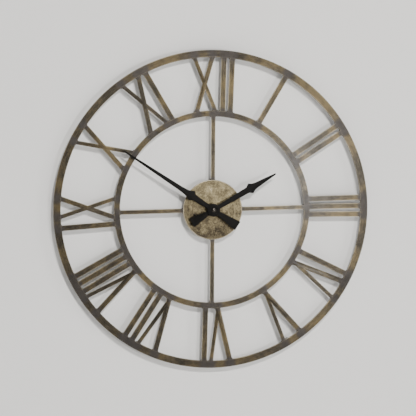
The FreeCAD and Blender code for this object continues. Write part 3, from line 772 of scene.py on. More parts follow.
def disc_bronze():
    """Pale bronze of the dial disc: short brush strokes every way, brown clouds, painted light that is
    lighter towards the top, and a painted highlight round the rim.
    """
    finish = Finish("brushed_bronze_disc")
    place = finish.place()
    x, y, z = finish.split(place)
    _, _, reach, _ = polar(finish)
    cloud = finish.noise(place, 16.0, 4.0, 0.6)
    mottle = finish.noise(place, 3.4, 4.0, 0.65)
    speck = finish.noise(place, 0.9, 2.0, 0.6)
    strokes = None
    for turn, shift in ((8, 0.0), (52, 9.0), (98, 21.0), (141, 33.0)):
        c, s = math.cos(math.radians(turn)), math.sin(math.radians(turn))
        line = finish.join((x * c + z * s) * 0.16 + shift, (z * c - x * s) * 1.15, shift)
        here = finish.noise(line, 1.0, 3.0, 0.6)
        strokes = here if strokes is None else finish.math("MAXIMUM", strokes, here)
    rings = finish.noise(finish.join(x * 0.05, z * 0.05, reach * 1.3), 1.0, 3.0, 0.6)
    right = finish.smooth(x, 10.0, 44.0)
    usual = 0.6  # the mean of the greatest of four noises

    tone = 0.52 + cloud.swing(1.0) + mottle.swing(0.8) + (strokes - usual) * 1.6
    tone = tone + (rings - 0.5) * (0.35 + right * 0.7) + speck.swing(0.3)
    # Painted light: the disc is made lighter towards the top and darker towards the bottom, as if lit from
    # above.
    tone = tone + finish.smooth(z, -44.0, 30.0, -0.13, 0.07)
    body = finish.shades(
        tone,
        [
            (0.12, tint("bronze_dark")),
            (0.36, tint("disc_brown")),
            (0.74, tint("disc_pale")),
            (1.0, tint("bronze_edge")),
        ],
    )
    # Painted highlight: a bright line of edge colour round the whole rim of the disc.
    gap = DISC_OUT / MM - reach + mottle.swing(1.2)
    rim = finish.smooth(gap, 1.6, 0.3)
    body = finish.mix(body, tint("bronze_edge"), rim * 0.7)
    rough = 0.42 + mottle.swing(0.3) + (strokes - usual) * 0.35 - rim * 0.1
    return finish.surface(
        bump=strokes * 0.6 + mottle * 0.8 + rings * 0.4,
        bump_depth=0.10,
        Base_Color=body,
        Metallic=0.76,
        Specular_IOR_Level=0.25,
        Roughness=rough,
    )


def weld_bronze():
    """Darker lacquer that lies over the weld beads."""
    finish = Finish("lacquered_weld")
    place = finish.place()
    cloud = finish.noise(place, 2.5, 4.0, 0.6)
    soot = finish.noise(place, 9.0, 3.0, 0.5)
    body = finish.mix(tint("bronze_dark"), tint("bronze_grey"), finish.smooth(cloud, 0.35, 0.7))
    body = finish.mix(body, tint("bronze_mid"), finish.smooth(soot, 0.45, 0.65) * 0.6)
    rough = 0.48 + cloud.swing(0.3)
    return finish.surface(
        bump=cloud, bump_depth=0.15, Base_Color=body, Metallic=0.7, Roughness=rough
    )


def hand_enamel():
    """Satin black enamel with a faint brown rub and a slightly uneven coat."""
    finish = Finish("satin_black_enamel")
    place = finish.place()
    cloud = finish.noise(place, 14.0, 4.0, 0.6)
    speck = finish.noise(place, 0.7, 3.0, 0.65)
    worn = finish.smooth(cloud + speck.swing(0.5), 0.50, 0.72)
    shade_now = finish.mix(tint("enamel"), (0.008, 0.006, 0.0045, 1.0), worn * 0.7)
    return finish.surface(
        bump=speck * 0.7 + cloud * 0.3,
        bump_depth=0.05,
        Base_Color=shade_now,
        Specular_IOR_Level=0.09,
        Roughness=0.50 + cloud.swing(0.22) + speck.swing(0.18),
    )


def moulded(name, shade_name, grain_size=0.5, rough=0.5, depth=0.04):
    """Moulded plastic or rubber with a spark-eroded grain and faint cloudiness."""
    finish = Finish(name)
    place = finish.place()
    spark = finish.noise(place, grain_size, 4.0, 0.7)
    cloud = finish.noise(place, 12.0, 3.0, 0.5)
    base = tint(shade_name)
    dark = (*(part * 0.78 for part in base[:3]), 1.0)
    light = (*(min(1.0, part * 1.12 + 0.004) for part in base[:3]), 1.0)
    body = finish.mix(dark, light, finish.smooth(cloud + spark.swing(0.4), 0.3, 0.7))
    return finish.surface(
        bump=spark,
        bump_depth=depth,
        Base_Color=body,
        Roughness=rough + spark.swing(0.24) + cloud.swing(0.1),
    )


def machined(name, shade_name, rough):
    """Turned or plated metal with fine tool marks round the hands' axis, and a few stains."""
    finish = Finish(name)
    place = finish.place()
    x, y, z = finish.split(place)
    reach = finish.math("SQRT", x * x + z * z)
    mark_step = 0.30
    marks = finish.noise(finish.join(x * 0.12, z * 0.12, (reach + y) / mark_step), 1.0, 3.0, 0.6)
    stain = finish.noise(place, 3.0, 4.0, 0.6)
    base = tint(shade_name)
    dark = (*(part * 0.62 for part in base[:3]), 1.0)
    body = finish.mix(base, dark, finish.smooth(stain + marks.swing(0.4), 0.50, 0.78))
    return finish.surface(
        bump=marks,
        bump_depth=0.02,
        Base_Color=body,
        Metallic=1.0,
        Roughness=rough + stain.swing(0.25) + marks.swing(0.12),
    )


def wound_copper():
    """Enamelled wire wound in close turns along X."""
    finish = Finish("wound_copper")
    x, y, z = finish.split(finish.place())
    turns = finish.add(
        "ShaderNodeTexWave",
        {"bands_direction": "X", "wave_profile": "SIN"},
        {"Vector": finish.join(x, y, z), "Scale": 1.6, "Distortion": 0.4, "Detail": 2.0},
        output="Fac",
    )
    cloud = finish.noise(finish.place(), 2.0, 3.0)
    body = finish.mix(tint("bronze_dark"), tint("copper"), 0.35 + turns * 0.65)
    return finish.surface(
        bump=turns, bump_depth=0.06, Base_Color=body, Metallic=0.9, Roughness=0.3 + cloud * 0.15
    )


def laminate():
    """Green lacquered board with pale tracks."""
    finish = Finish("lacquered_laminate")
    x, _, z = finish.split(finish.place())
    weave = finish.noise(finish.join(x * 3.0, z * 0.4, 0.0), 1.0, 2.0)
    track = finish.add(
        "ShaderNodeTexBrick",
        {"offset": 0.5},
        {"Vector": finish.join(x, z, 0.0), "Scale": 0.35, "Mortar Size": 0.045},
        output="Fac",
    )
    body = finish.mix(tint("board"), (0.10, 0.33, 0.16, 1.0), track * 0.8)
    return finish.surface(
        bump=track + weave * 0.3,
        bump_depth=0.03,
        Base_Color=body,
        Roughness=0.28 + weave.swing(0.2),
    )


def cell_jacket():
    """Metal jacket of the battery with one plain band and a painted shine in nickel streaks along it."""
    finish = Finish("battery_jacket")
    place = finish.place()
    x, _, _ = finish.split(place)
    low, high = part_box("battery_cell")
    wide = (high.x - low.x) / MM
    along = (x - low.x / MM) / wide
    rub = finish.noise(finish.scaled(place, (0.06, 1.2, 1.2)), 1.0, 3.0, 0.6)
    cloud = finish.noise(place, 5.0, 3.0)
    band = finish.smooth(along, 0.70, 0.703)
    body = finish.mix(tint("jacket"), tint("jacket_band"), band)
    # Painted sheen: nickel-coloured streaks along the cell stand in for its highlight.
    body = finish.mix(body, tint("nickel"), finish.smooth(rub + cloud.swing(0.3), 0.62, 0.80) * 0.5)
    return finish.surface(
        bump=rub, bump_depth=0.02, Base_Color=body, Metallic=0.55, Roughness=0.34 + cloud.swing(0.2)
    )


FINISHES = {}


def finish_of(name):
    """One of the shared finishes, made when it is first asked for."""
    makers = {
        "bars": bar_bronze,
        "fittings": fittings_bronze,
        "weld": weld_bronze,
        "disc": disc_bronze,
        "enamel": hand_enamel,
        "copper": wound_copper,
        "laminate": laminate,
        "jacket": cell_jacket,
        "brass": lambda: machined("turned_brass", "brass", rough=0.26),
        # The nut's finish is darkened as a painted dark reflection.
        "nut": lambda: machined("aged_plate", "nut", rough=0.24),
        "nickel": lambda: machined("nickel_plate", "nickel", rough=0.20),
        "zinc": lambda: machined("zinc_plate", "zinc", rough=0.36),
        "case": lambda: moulded("black_moulding", "plastic_black", 0.45, 0.50),
        "grey": lambda: moulded("grey_moulding", "plastic_grey", 0.4, 0.48),
        "natural": lambda: moulded("natural_moulding", "plastic_natural", 0.8, 0.36, 0.02),
        "white": lambda: moulded("white_acetal", "plastic_white", 0.8, 0.32, 0.02),
        "rubber": lambda: moulded("black_rubber", "rubber", 0.35, 0.78, 0.06),
    }
    if name not in FINISHES:
        FINISHES[name] = makers[name]()
    return FINISHES[name]


# Rings, numerals and spokes


def flat_ring_shape():
    """Tree for a flat ring: a rectangle swept round a circle about the hands' axis."""
    shape = Shape(
        "flat_ring",
        (
            ("Inner Radius", "Float"),
            ("Outer Radius", "Float"),
            ("Front", "Float"),
            ("Back", "Float"),
            ("Steps", "Int"),
        ),
    )
    inner, outer = shape.given("Inner Radius"), shape.given("Outer Radius")
    front, back = shape.given("Front"), shape.given("Back")
    circle = shape.circle(shape.given("Steps"), (inner + outer) * 0.5)
    section = shape.add(
        "GeometryNodeCurvePrimitiveQuadrilateral",
        {"mode": "RECTANGLE"},
        {"Width": outer - inner, "Height": back - front},
    )
    swept = shape.add("GeometryNodeCurveToMesh", None, {0: circle, 1: section})
    shape.close(shape.stood(swept, shape.join(0.0, (front + back) * 0.5, 0.0)))
    return shape


def make_ring(shape, name, node, material, steps, rounding):
    """A flat ring in the place of a node, with rounded edges."""
    inner, outer = radii(node)
    front, back = depths(node)
    piece = shape.run(
        name,
        bpy.data.meshes.new(name),
        material,
        Inner_Radius=inner,
        Outer_Radius=outer,
        Front=front,
        Back=back,
        Steps=steps,
    )
    soften(piece, rounding)
    return piece


def mark_joints(piece, joints):
    """Writes how close each corner of a ring is to a joint, from 0 far away to 1 at a bar."""
    mesh = piece.data
    places = np.empty(len(mesh.vertices) * 3, np.float32)
    mesh.vertices.foreach_get("co", places)
    places = places.reshape(-1, 3)
    turns = np.arctan2(places[:, 2], places[:, 0])
    reach = np.hypot(places[:, 0], places[:, 2])
    nearest = np.full(len(turns), 1.0)
    for start, end in joints:
        half = (end - start) / 2
        away = np.abs((turns - (start + half) + math.pi) % math.tau - math.pi) - half
        nearest = np.minimum(nearest, np.maximum(away, 0) * reach)
    share = np.clip(1 - nearest / sizes().weld_reach, 0, 1)
    layer = mesh.attributes.new("weld", "FLOAT", "POINT")
    layer.data.foreach_set("value", (share * share * (3 - 2 * share)).astype(np.float32))


class CLOCK_OT_rings(bpy.types.Operator):
    """Make the outer and the inner ring"""

    bl_idname = "wall_clock.rings"
    bl_label = "Rings"

    def execute(self, context):
        shape = flat_ring_shape()
        steps, rounding = sizes().ring_steps, sizes().bar_round
        rim = ring_bronze("brushed_bronze_rim", RIM_IN, RIM_OUT)
        piece = make_ring(shape, "outer_ring_bar", "outer_ring", rim, steps, rounding)
        mark_joints(piece, joints_at(RIM_IN, NUMERALS))
        fit(piece, "frame", "frame_bronze", "outer_ring")
        hoop = ring_bronze("brushed_bronze_hoop", HOOP_IN, HOOP_OUT)
        piece = make_ring(shape, "inner_ring_bar", "inner_ring", hoop, steps, rounding)
        mark_joints(piece, joints_at(HOOP_OUT, NUMERALS) + joints_at(HOOP_IN, SPOKES))
        fit(piece, "frame", "frame_bronze", "inner_ring")
        return {"FINISHED"}


def lines_of(work, group):
    """The middle lines of one solid's straight bars, longest first.

    Each is (direction along X, direction along Z, offset in mm, half width in mm).
    """
    own = set(group)
    front = min(vertex.co.y for vertex in group)
    found = []
    for edge in work.edges:
        if edge.verts[0] not in own:
            continue
        first, last = (vertex.co for vertex in edge.verts)
        run = Vector((last.x - first.x, last.z - first.z))
        if max(first.y, last.y) > front + 0.01 * MM or run.length < 20 * MM:
            continue
        for line in found:
            if abs(run.normalized().dot(line["way"])) > math.cos(math.radians(1.5)):
                break
        else:
            line = {"way": run.normalized(), "length": 0.0, "across": []}
            found.append(line)
        way = line["way"]
        line["length"] += run.length
        line["across"] += [(end.z * way.x - end.x * way.y) / MM for end in (first, last)]
    found.sort(key=lambda line: -line["length"])
    lines = []
    for line in found[:2]:
        low, high = min(line["across"]), max(line["across"])
        lines.append((line["way"].x, line["way"].y, (low + high) / 2, (high - low) / 2))
    if not lines:
        raise RuntimeError("a bar has no straight edge at its front")
    return lines


def stretch_ends(work, rounding):
    """Runs bar ends on over the rounded edges of the rings and the disc, so no groove shows."""
    for vertex in work.verts:
        reach = math.hypot(vertex.co.x, vertex.co.z)
        for radius, shift in (
            (RIM_IN, rounding),
            (HOOP_OUT, -rounding),
            (HOOP_IN, rounding),
            (DISC_OUT, -sizes().disc_round),
        ):
            if abs(reach - radius) < 0.05 * MM:
                factor = (radius + shift) / reach
                vertex.co.x *= factor
                vertex.co.z *= factor
                vertex.tag = True
                break


def make_bars(node, first_seed):
    """The straight bars of a numeral or a spoke, each marked with its own middle lines."""
    rounding = sizes().bar_round
    work = merged(node)
    stretch_ends(work, rounding)
    vectors = [work.verts.layers.float_vector.new(name) for name in ("line_a", "line_b")]
    halves = [work.verts.layers.float.new(name + "_half") for name in ("line_a", "line_b")]
    seeds = work.verts.layers.float.new("seed")
    for number, group in enumerate(islands(work)):
        lines = lines_of(work, group)
        for vertex in group:
            vertex[seeds] = (first_seed * 0.618 + number * 0.37) % 1.0
            for place, (layer, half) in enumerate(zip(vectors, halves)):
                way_x, way_z, offset, wide = lines[min(place, len(lines) - 1)]
                vertex[layer] = (way_x, way_z, offset)
                vertex[half] = wide
    weigh_edges(work, keep=lambda edge: not all(vertex.tag for vertex in edge.verts))
    piece = new_piece(node + "_bars", mesh_from(work, node + "_bars", outward=False))
    round_edges(piece, rounding)
    paint(piece, finish_of("bars"))
    fit(piece, "frame", "frame_bronze", node)


class CLOCK_OT_numerals(bpy.types.Operator):
    """Make the bars of the twelve Roman numerals"""

    bl_idname = "wall_clock.numerals"
    bl_label = "Numerals"

    def execute(self, context):
        for number, node in enumerate(NUMERALS):
            make_bars(node, number + 1)
        return {"FINISHED"}


class CLOCK_OT_spokes(bpy.types.Operator):
    """Make the four spokes that carry the disc"""

    bl_idname = "wall_clock.spokes"
    bl_label = "Spokes"

    def execute(self, context):
        for number, node in enumerate(SPOKES):
            make_bars(node, number + 20)
        return {"FINISHED"}


class CLOCK_OT_disc(bpy.types.Operator):
    """Make the dial disc"""

    bl_idname = "wall_clock.disc"
    bl_label = "Disc"

    def execute(self, context):
        shape, steps = flat_ring_shape(), sizes().ring_steps // 3
        rounding = sizes().disc_round
        piece = make_ring(shape, "dial_disc_plate", "dial_disc", finish_of("disc"), steps, rounding)
        fit(piece, "frame", "dial_bronze", "dial_disc")
        return {"FINISHED"}


# Welds and what hangs the clock


def weld_shape():
    """Tree for weld beads: flattened ripples side by side along each line of the start mesh."""
    shape = Shape("weld_bead", (("Size", "Float"), ("Step", "Float"), ("Seed", "Int")))
    size, seed = shape.given("Size"), shape.given("Seed")
    line = shape.add("GeometryNodeMeshToCurve", None, {0: shape.given("Start")})
    spots = shape.add(
        "GeometryNodeResampleCurve", {"mode": "LENGTH"}, {"Curve": line, "Length": shape.given("Step")}
    )
    ripple = shape.add(
        "GeometryNodeMeshUVSphere", None, {"Segments": 8, "Rings": 5, "Radius": size}
    )
    smooth = shape.add("GeometryNodeSetShadeSmooth", None, {0: ripple})
    spread = shape.add(
        "FunctionNodeRandomValue",
        {"data_type": "FLOAT_VECTOR"},
        {"Min": (0.85, 0.42, 0.85), "Max": (1.15, 0.58, 1.15), "Seed": seed},
    )
    beads = shape.add(
        "GeometryNodeInstanceOnPoints", None, {"Points": spots, "Instance": smooth, "Scale": spread}
    )
    shape.close(beads)
    return shape


def strings_mesh(name, strings):
    """A mesh of edges only, one chain of points for each string."""
    places, edges = [], []
    for string in strings:
        edges += [(len(places) + k, len(places) + k + 1) for k in range(len(string) - 1)]
        places += string
    mesh = bpy.data.meshes.new(name)
    mesh.from_pydata(places, edges, [])
    return mesh


def arc_string(radius, start, end, depth, centre=(0.0, 0.0), steps=6):
    """Points on a circle about an axis along Y, from one angle to another."""
    turns = [start + (end - start) * step / steps for step in range(steps + 1)]
    return [
        (centre[0] + radius * math.cos(t), depth, centre[1] + radius * math.sin(t)) for t in turns
    ]


def node_axes(node):
    """The middle of each solid of a node across the wall, as (x, z)."""
    spots = []
    for places in islands_of(node):
        xs, zs = [place.x for place in places], [place.z for place in places]
        spots.append(((min(xs) + max(xs)) / 2, (min(zs) + max(zs)) / 2))
    return spots


class CLOCK_OT_welds(bpy.types.Operator):
    """Make the weld beads at the back of every joint"""

    bl_idname = "wall_clock.welds"
    bl_label = "Weld beads"

    def execute(self, context):
        strings = []
        for radius, nodes in (
            (RIM_IN, NUMERALS),
            (HOOP_OUT, NUMERALS),
            (HOOP_IN, SPOKES),
            (DISC_OUT, SPOKES),
        ):
            for start, end in joints_at(radius, nodes):
                strings.append(arc_string(radius, start, end, BAR_BACK))
        stud = (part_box("wall_studs")[1].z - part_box("wall_studs")[0].z) / 2
        for centre in node_axes("wall_studs"):
            strings.append(arc_string(stud, 0.0, math.tau, BAR_BACK, centre, 24))
        low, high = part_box("hanger_bracket")
        inset = 1.2 * MM
        for side in (low.x, high.x):
            strings.append([(side, BAR_BACK, low.z + inset), (side, BAR_BACK, high.z - inset)])
        piece = weld_shape().run(
            "weld_beads",
            strings_mesh("weld_lines", strings),
            finish_of("weld"),
            Size=sizes().bead_size,
            Step=sizes().bead_step,
            Seed=12,
        )
        fit(piece, "frame", "frame_bronze")
        return {"FINISHED"}


class CLOCK_OT_hanger(bpy.types.Operator):
    """Make the bent hanger strip at the top of the outer ring"""

    bl_idname = "wall_clock.hanger"
    bl_label = "Hanger"

    def execute(self, context):
        piece = softened("hanger_strip", "hanger_bracket", 0.3 * MM, finish_of("fittings"))
        fit(piece, "frame", "frame_bronze", "hanger_bracket")
        return {"FINISHED"}


class CLOCK_OT_studs(bpy.types.Operator):
    """Make the two stand-off studs and their rubber pads"""

    bl_idname = "wall_clock.studs"
    bl_label = "Studs and pads"

    def execute(self, context):
        low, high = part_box("wall_studs")
        radius, chamfer = (high.z - low.z) / 2, 0.5 * MM
        groove = [(radius, low.y + 3 * MM), (radius - chamfer, low.y + 3.6 * MM)]
        groove += [(radius - chamfer, low.y + 4.6 * MM), (radius, low.y + 5.2 * MM)]
        stud = [(0, low.y), (radius, low.y), *groove, (radius, high.y - chamfer)]
        stud += [(radius - chamfer, high.y), (0, high.y)]
        pad_front, pad_back = depths("stud_pads")
        dome = arc((radius - 0.9 * MM, pad_back - 0.9 * MM), 0.9 * MM, 0, 90, 5)
        pad = [(0, pad_front), (radius - 0.2 * MM, pad_front), (radius, pad_front + 0.2 * MM)]
        pad += [*dome, (0, pad_back)]
        for name, profile, node, finish, slot in (
            ("turned_studs", stud, "wall_studs", "fittings", "frame_bronze"),
            ("domed_pads", pad, "stud_pads", "rubber", "black_rubber"),
        ):
            meshes = [turned(name, profile, (x, 0.0, z), steps=48) for x, z in node_axes(node)]
            piece = shaded_piece(name, joined(name, meshes), finish_of(finish))
            fit(piece, "frame", slot, node)
        return {"FINISHED"}


# Hands and their fixing


def hexagon_nut(name, corner, bore, back, front, flat, fall, dome=0.0):
    """A hexagon nut about the hands' axis, its front corners cut by a cone outside a flat circle.

    fall is how far the cone drops for each unit of radius. With no bore the front is a low dome.
    """
    steps, cap_rows = 96, 6
    work = bmesh.new()

    def row(radius_at, depth_at):
        made = []
        for step in range(steps):
            turn = math.tau * step / steps
            side = corner * math.cos(math.pi / 6) / math.cos(turn % (math.pi / 3) - math.pi / 6)
            radius = radius_at(side)
            spot = (radius * math.cos(turn), depth_at(radius), radius * math.sin(turn))
            made.append(work.verts.new(spot))
        return made

    def cone(radius):
        return front + dome + max(0.0, radius - flat) * fall

    rows = [row(lambda side: side, lambda radius: back), row(lambda side: side, cone)]
    rows.append(row(lambda side: flat, cone))
    if bore:
        rows.append(row(lambda side: bore, lambda radius: front))
        rows.append(row(lambda side: bore, lambda radius: back))
        rows.append(rows[0])
    else:
        for place in range(1, cap_rows):
            share = 1 - place / cap_rows
            rise = dome * share * share
            rows.append(row(lambda side: flat * share, lambda radius: front + rise))
    for near, far in zip(rows, rows[1:]):
        for step in range(steps):
            after = (step + 1) % steps
            work.faces.new((near[step], near[after], far[after], far[step]))
    if not bore:
        work.faces.new(rows[-1])
        work.faces.new(rows[0])
    return mesh_from(work, name)


class CLOCK_OT_hands(bpy.types.Operator):
    """Make the hour hand and the minute hand"""

    bl_idname = "wall_clock.hands"
    bl_label = "Hands"

    def execute(self, context):
        for node, body in (("hour_hand", "hour_set"), ("minute_hand", "minute_set")):
            enamel = finish_of("enamel")
            piece = softened(node + "_blade", node, sizes().hand_round, enamel)
            fit(piece, body, "black_enamel", node)
            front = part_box(node)[0].y
            ridge = [(5.5 * MM, front + 0.1 * MM)]
            ridge += arc((6.4 * MM, front - 0.05 * MM), 0.35 * MM, 180, 360, 6)
            ridge += [(7.3 * MM, front + 0.1 * MM)]
            boss = turned_piece(node + "_boss_ring", ridge, (0, 0, 0), enamel)
            fit(boss, body, "black_enamel")
        return {"FINISHED"}


class CLOCK_OT_hand_nut(bpy.types.Operator):
    """Make the domed nut on the minute arbor"""

    bl_idname = "wall_clock.hand_nut"
    bl_label = "Hand nut"

    def execute(self, context):
        low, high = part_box("hand_nut")
        corner = (high.x - low.x) / 2
        mesh = hexagon_nut(
            "hand_nut_dome", corner, 0, high.y, low.y, 0.80 * corner, 0.45, 0.35 * MM
        )
        piece = shaded_piece("hand_nut_dome", mesh, finish_of("nut"), 25)
        fit(piece, "minute_set", "bright_nickel", "hand_nut")
        return {"FINISHED"}


# Radius of the thread's diamond section as a share of the pitch
THREAD_DEPTH = 0.36


def thread_shape():
    """Tree for a screw thread: a small diamond swept along a helix about the hands' axis."""
    shape = Shape(
        "screw_thread",
        (("Turns", "Float"), ("Radius", "Float"), ("Length", "Float"), ("Front", "Float")),
    )
    radius, reach = shape.given("Radius"), shape.given("Length")
    helix = shape.add(
        "GeometryNodeCurveSpiral",
        None,
        {
            "Resolution": 40,
            "Rotations": shape.given("Turns"),
            "Start Radius": radius,
            "End Radius": radius,
            "Height": reach,
        },
    )
    section = shape.circle(4, reach / shape.given("Turns") * THREAD_DEPTH)
    thread = shape.swept(helix, section)
    shape.close(shape.stood(thread, shape.join(0.0, shape.given("Front") + reach, 0.0)))
    return shape


class CLOCK_OT_fixing(bpy.types.Operator):
    """Make the threaded bush, gasket, washer and nut that clamp the movement to the disc"""

    bl_idname = "wall_clock.fixing"
    bl_label = "Movement fixing"

    def execute(self, context):
        brass = finish_of("brass")
        pitch, cut = sizes().thread_pitch, 0.25 * MM
        inner, outer = radii("threaded_bush")
        front, back = depths("threaded_bush")
        core = outer - 0.45 * pitch
        sleeve = [(inner, front), (core - cut, front), (core, front + cut), (core, back), (inner, back)]
        bush = turned_piece("bush_sleeve", sleeve, (0, 0, 0), brass)
        fit(bush, "frame", "turned_brass", "threaded_bush")
        reach = back - front - 2 * pitch
        thread = thread_shape().run(
            "bush_thread",
            bpy.data.meshes.new("bush_thread"),
            brass,
            Turns=reach / pitch,
            Radius=outer - THREAD_DEPTH * pitch,
            Length=reach,
            Front=front + pitch,
        )
        fit(thread, "frame", "turned_brass")

        inner, outer = radii("flat_washer")
        front, back = depths("flat_washer")
        ring = [(inner, back), (inner, front)]
        ring += arc((outer - cut, front + cut), cut, -90, 0)
        ring += [(outer, back)]
        washer = turned_piece("washer_ring", ring, (0, 0, 0), brass)
        fit(washer, "frame", "turned_brass", "flat_washer")

        inner, outer = radii("rubber_gasket")
        front, back = depths("rubber_gasket")
        half = (back - front) / 2
        seal = [(inner, back), (inner, front)]
        seal += arc((outer - half, front + half), half, -90, 90, 8)
        gasket = turned_piece("gasket_ring", seal, (0, 0, 0), finish_of("rubber"))
        fit(gasket, "frame", "black_rubber", "rubber_gasket")

        inner, outer = radii("clamp_nut")
        front, back = depths("clamp_nut")
        mesh = hexagon_nut("clamp_nut_hexagon", outer, inner, back, front, 0.82 * outer, 0.5)
        nut = shaded_piece("clamp_nut_hexagon", mesh, brass, 25)
        fit(nut, "frame", "turned_brass", "clamp_nut")
        return {"FINISHED"}


# Movement


def block(name, low, high, rounding, material):
    """A block between two corners with rounded edges."""
    work = bmesh.new()
    bmesh.ops.create_cube(work, size=1.0)
    for vertex in work.verts:
        share = vertex.co + Vector((0.5, 0.5, 0.5))
        vertex.co = [low[k] + (high[k] - low[k]) * share[k] for k in range(3)]
    piece = new_piece(name, mesh_from(work, name))
    soften(piece, rounding)
    paint(piece, material)
    return piece


def outer_edges(low, high, sides):
    """Tells whether an edge lies where two of the given sides of a box meet."""

    def test(edge):
        shared = 0
        for axis, end in sides:
            face = (low, high)[end][axis]
            shared += all(abs(vertex.co[axis] - face) < 0.02 * MM for vertex in edge.verts)
        return shared >= 2

    return test


def rib_shape():
    """Tree for moulded ribs: rounded bars along each line of the start mesh, turned to face out."""
    shape = Shape(
        "moulded_ribs",
        (("Count", "Int"), ("Width", "Float"), ("Tall", "Float"), ("Proud", "Float")),
    )
    line = shape.add("GeometryNodeMeshToCurve", None, {0: shape.given("Start")})
    spots = shape.add(
        "GeometryNodeResampleCurve", {"mode": "COUNT"}, {"Curve": line, "Count": shape.given("Count")}
    )
    spine = shape.add(
        "GeometryNodeCurvePrimitiveLine", None, {"Start": (0, -0.5, 0), "End": (0, 0.5, 0)}
    )
    bar = shape.swept(spine, shape.circle(8, 0.5))
    shaped = shape.join(shape.given("Width"), shape.given("Tall"), shape.given("Proud"))
    tangent = shape.add("GeometryNodeInputTangent")
    turn = shape.add(
        "FunctionNodeAlignRotationToVector", {"axis": "X", "pivot_axis": "Y"}, {"Vector": tangent}
    )
    ribs = shape.add(
        "GeometryNodeInstanceOnPoints",
        None,
        {"Points": spots, "Instance": bar, "Rotation": turn, "Scale": shaped},
    )
    shape.close(ribs)
    return shape


class CLOCK_OT_case(bpy.types.Operator):
    """Make the movement case with its ribs and clips"""

    bl_idname = "wall_clock.case"
    bl_label = "Movement case"

    def execute(self, context):
        black = finish_of("case")
        low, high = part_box("movement_case")
        sides = [(0, 0), (0, 1), (2, 0), (2, 1), (1, 0)]
        case = softened(
            "case_shell",
            "movement_case",
            sizes().case_round,
            black,
            4,
            outer_edges(low, high, sides),
        )
        fit(case, "frame", "black_plastic", "movement_case")

        inset, depth = 9 * MM, (low.y + high.y) / 2
        strings = []
        for x in (low.x, high.x):
            strings.append([(x, depth, low.z + inset), (x, depth, high.z - inset)])
        for z in (low.z, high.z):
            strings.append([(low.x + inset, depth, z), (high.x - inset, depth, z)])
        ribs = rib_shape().run(
            "case_ribs",
            strings_mesh("rib_lines", strings),
            black,
            Count=13,
            Width=0.9 * MM,
            Tall=8.0 * MM,
            Proud=0.9 * MM,
        )
        shade(ribs)
        fit(ribs, "frame", "black_plastic")

        for name, z, way in (("upper_clip", high.z, 1), ("lower_clip", low.z, -1)):
            ends = sorted((z, z + way * 1.1 * MM))
            clip = block(
                name,
                (-4 * MM, high.y - 3.4 * MM, ends[0] - 0.2 * MM),
                (4 * MM, high.y + 0.9 * MM, ends[1]),
                0.35 * MM,
                black,
            )
            fit(clip, "frame", "black_plastic")
        return {"FINISHED"}


def outline_plate(name, outline, depth_from, depth_to):
    """A flat plate with an outline of (x, z) points."""
    work = bmesh.new()
    face = work.faces.new([work.verts.new((x, depth_from, z)) for x, z in outline])
    made = bmesh.ops.extrude_face_region(work, geom=[face])
    for item in made["geom"]:
        if isinstance(item, bmesh.types.BMVert):
            item.co.y = depth_to
    return mesh_from(work, name)


def turned_arrow(centre, radius, start, end, half):
    """The outline of a curved arrow about a centre, from one angle to another in degrees."""
    way = 1 if end > start else -1
    head = 16 * way
    outer = [(radius + half, start + (end - head - start) * k / 10) for k in range(11)]
    tip = [(radius + 2.2 * half, end - head), (radius, end), (radius - 2.2 * half, end - head)]
    inner = [(radius - half, start + (end - head - start) * k / 10) for k in range(10, -1, -1)]
    points = []
    for reach, turn in outer + tip + inner:
        t = math.radians(turn)
        points.append((centre[0] + reach * math.cos(t), centre[1] + reach * math.sin(t)))
    return points


class CLOCK_OT_cover(bpy.types.Operator):
    """Make the rear cover with its moulded marks"""

    bl_idname = "wall_clock.cover"
    bl_label = "Rear cover"

    def execute(self, context):
        black = finish_of("case")
        low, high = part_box("rear_cover")
        sides = [(0, 0), (0, 1), (2, 0), (2, 1), (1, 1)]
        cover = softened(
            "cover_plate", "rear_cover", 0.5 * MM, black, 3, outer_edges(low, high, sides)
        )
        fit(cover, "frame", "black_plastic", "rear_cover")

        knob, rise = middle("setting_knob"), 0.1 * MM
        cell_low, cell_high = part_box("battery_cell")
        mark_z, half = cell_high.z + 4.2 * MM, 0.35 * MM
        plus_x, minus_x = cell_high.x - 4 * MM, cell_low.x + 4 * MM
        if middle("contact_positive").x < middle("contact_negative").x:
            plus_x, minus_x = minus_x, plus_x
        arm = 1.6 * MM
        bars = [(plus_x, arm, half), (plus_x, half, arm), (minus_x, arm, half)]
        outlines = [
            [(x - a, mark_z - b), (x + a, mark_z - b), (x + a, mark_z + b), (x - a, mark_z + b)]
            for x, a, b in bars
        ]
        for start, end in ((200, 340), (160, 20)):
            outlines.append(turned_arrow((knob.x, knob.z), 7.4 * MM, start, end, half))
        meshes = [
            outline_plate("mark", outline, high.y - 0.2 * MM, high.y + rise) for outline in outlines
        ]
        marks = shaded_piece("cover_marks", joined("cover_marks", meshes), black)
        fit(marks, "frame", "black_plastic")
        return {"FINISHED"}


def knurl_shape():
    """Tree for knurls: small ridges parallel to Y, set round a circle about a given middle."""
    shape = Shape(
        "knurled_edge",
        (("Count", "Int"), ("Radius", "Float"), ("Ridge", "Float"), ("Tall", "Float"), ("Middle", "Vector")),
    )
    circle = shape.circle(shape.given("Count"), shape.given("Radius"))
    ridge = shape.add(
        "GeometryNodeMeshCylinder",
        {"fill_type": "TRIANGLE_FAN"},
        {"Vertices": 6, "Radius": shape.given("Ridge"), "Depth": shape.given("Tall")},
    )
    ridges = shape.add("GeometryNodeInstanceOnPoints", None, {"Points": circle, "Instance": ridge})
    shape.close(shape.stood(ridges, shape.given("Middle")))
    return shape


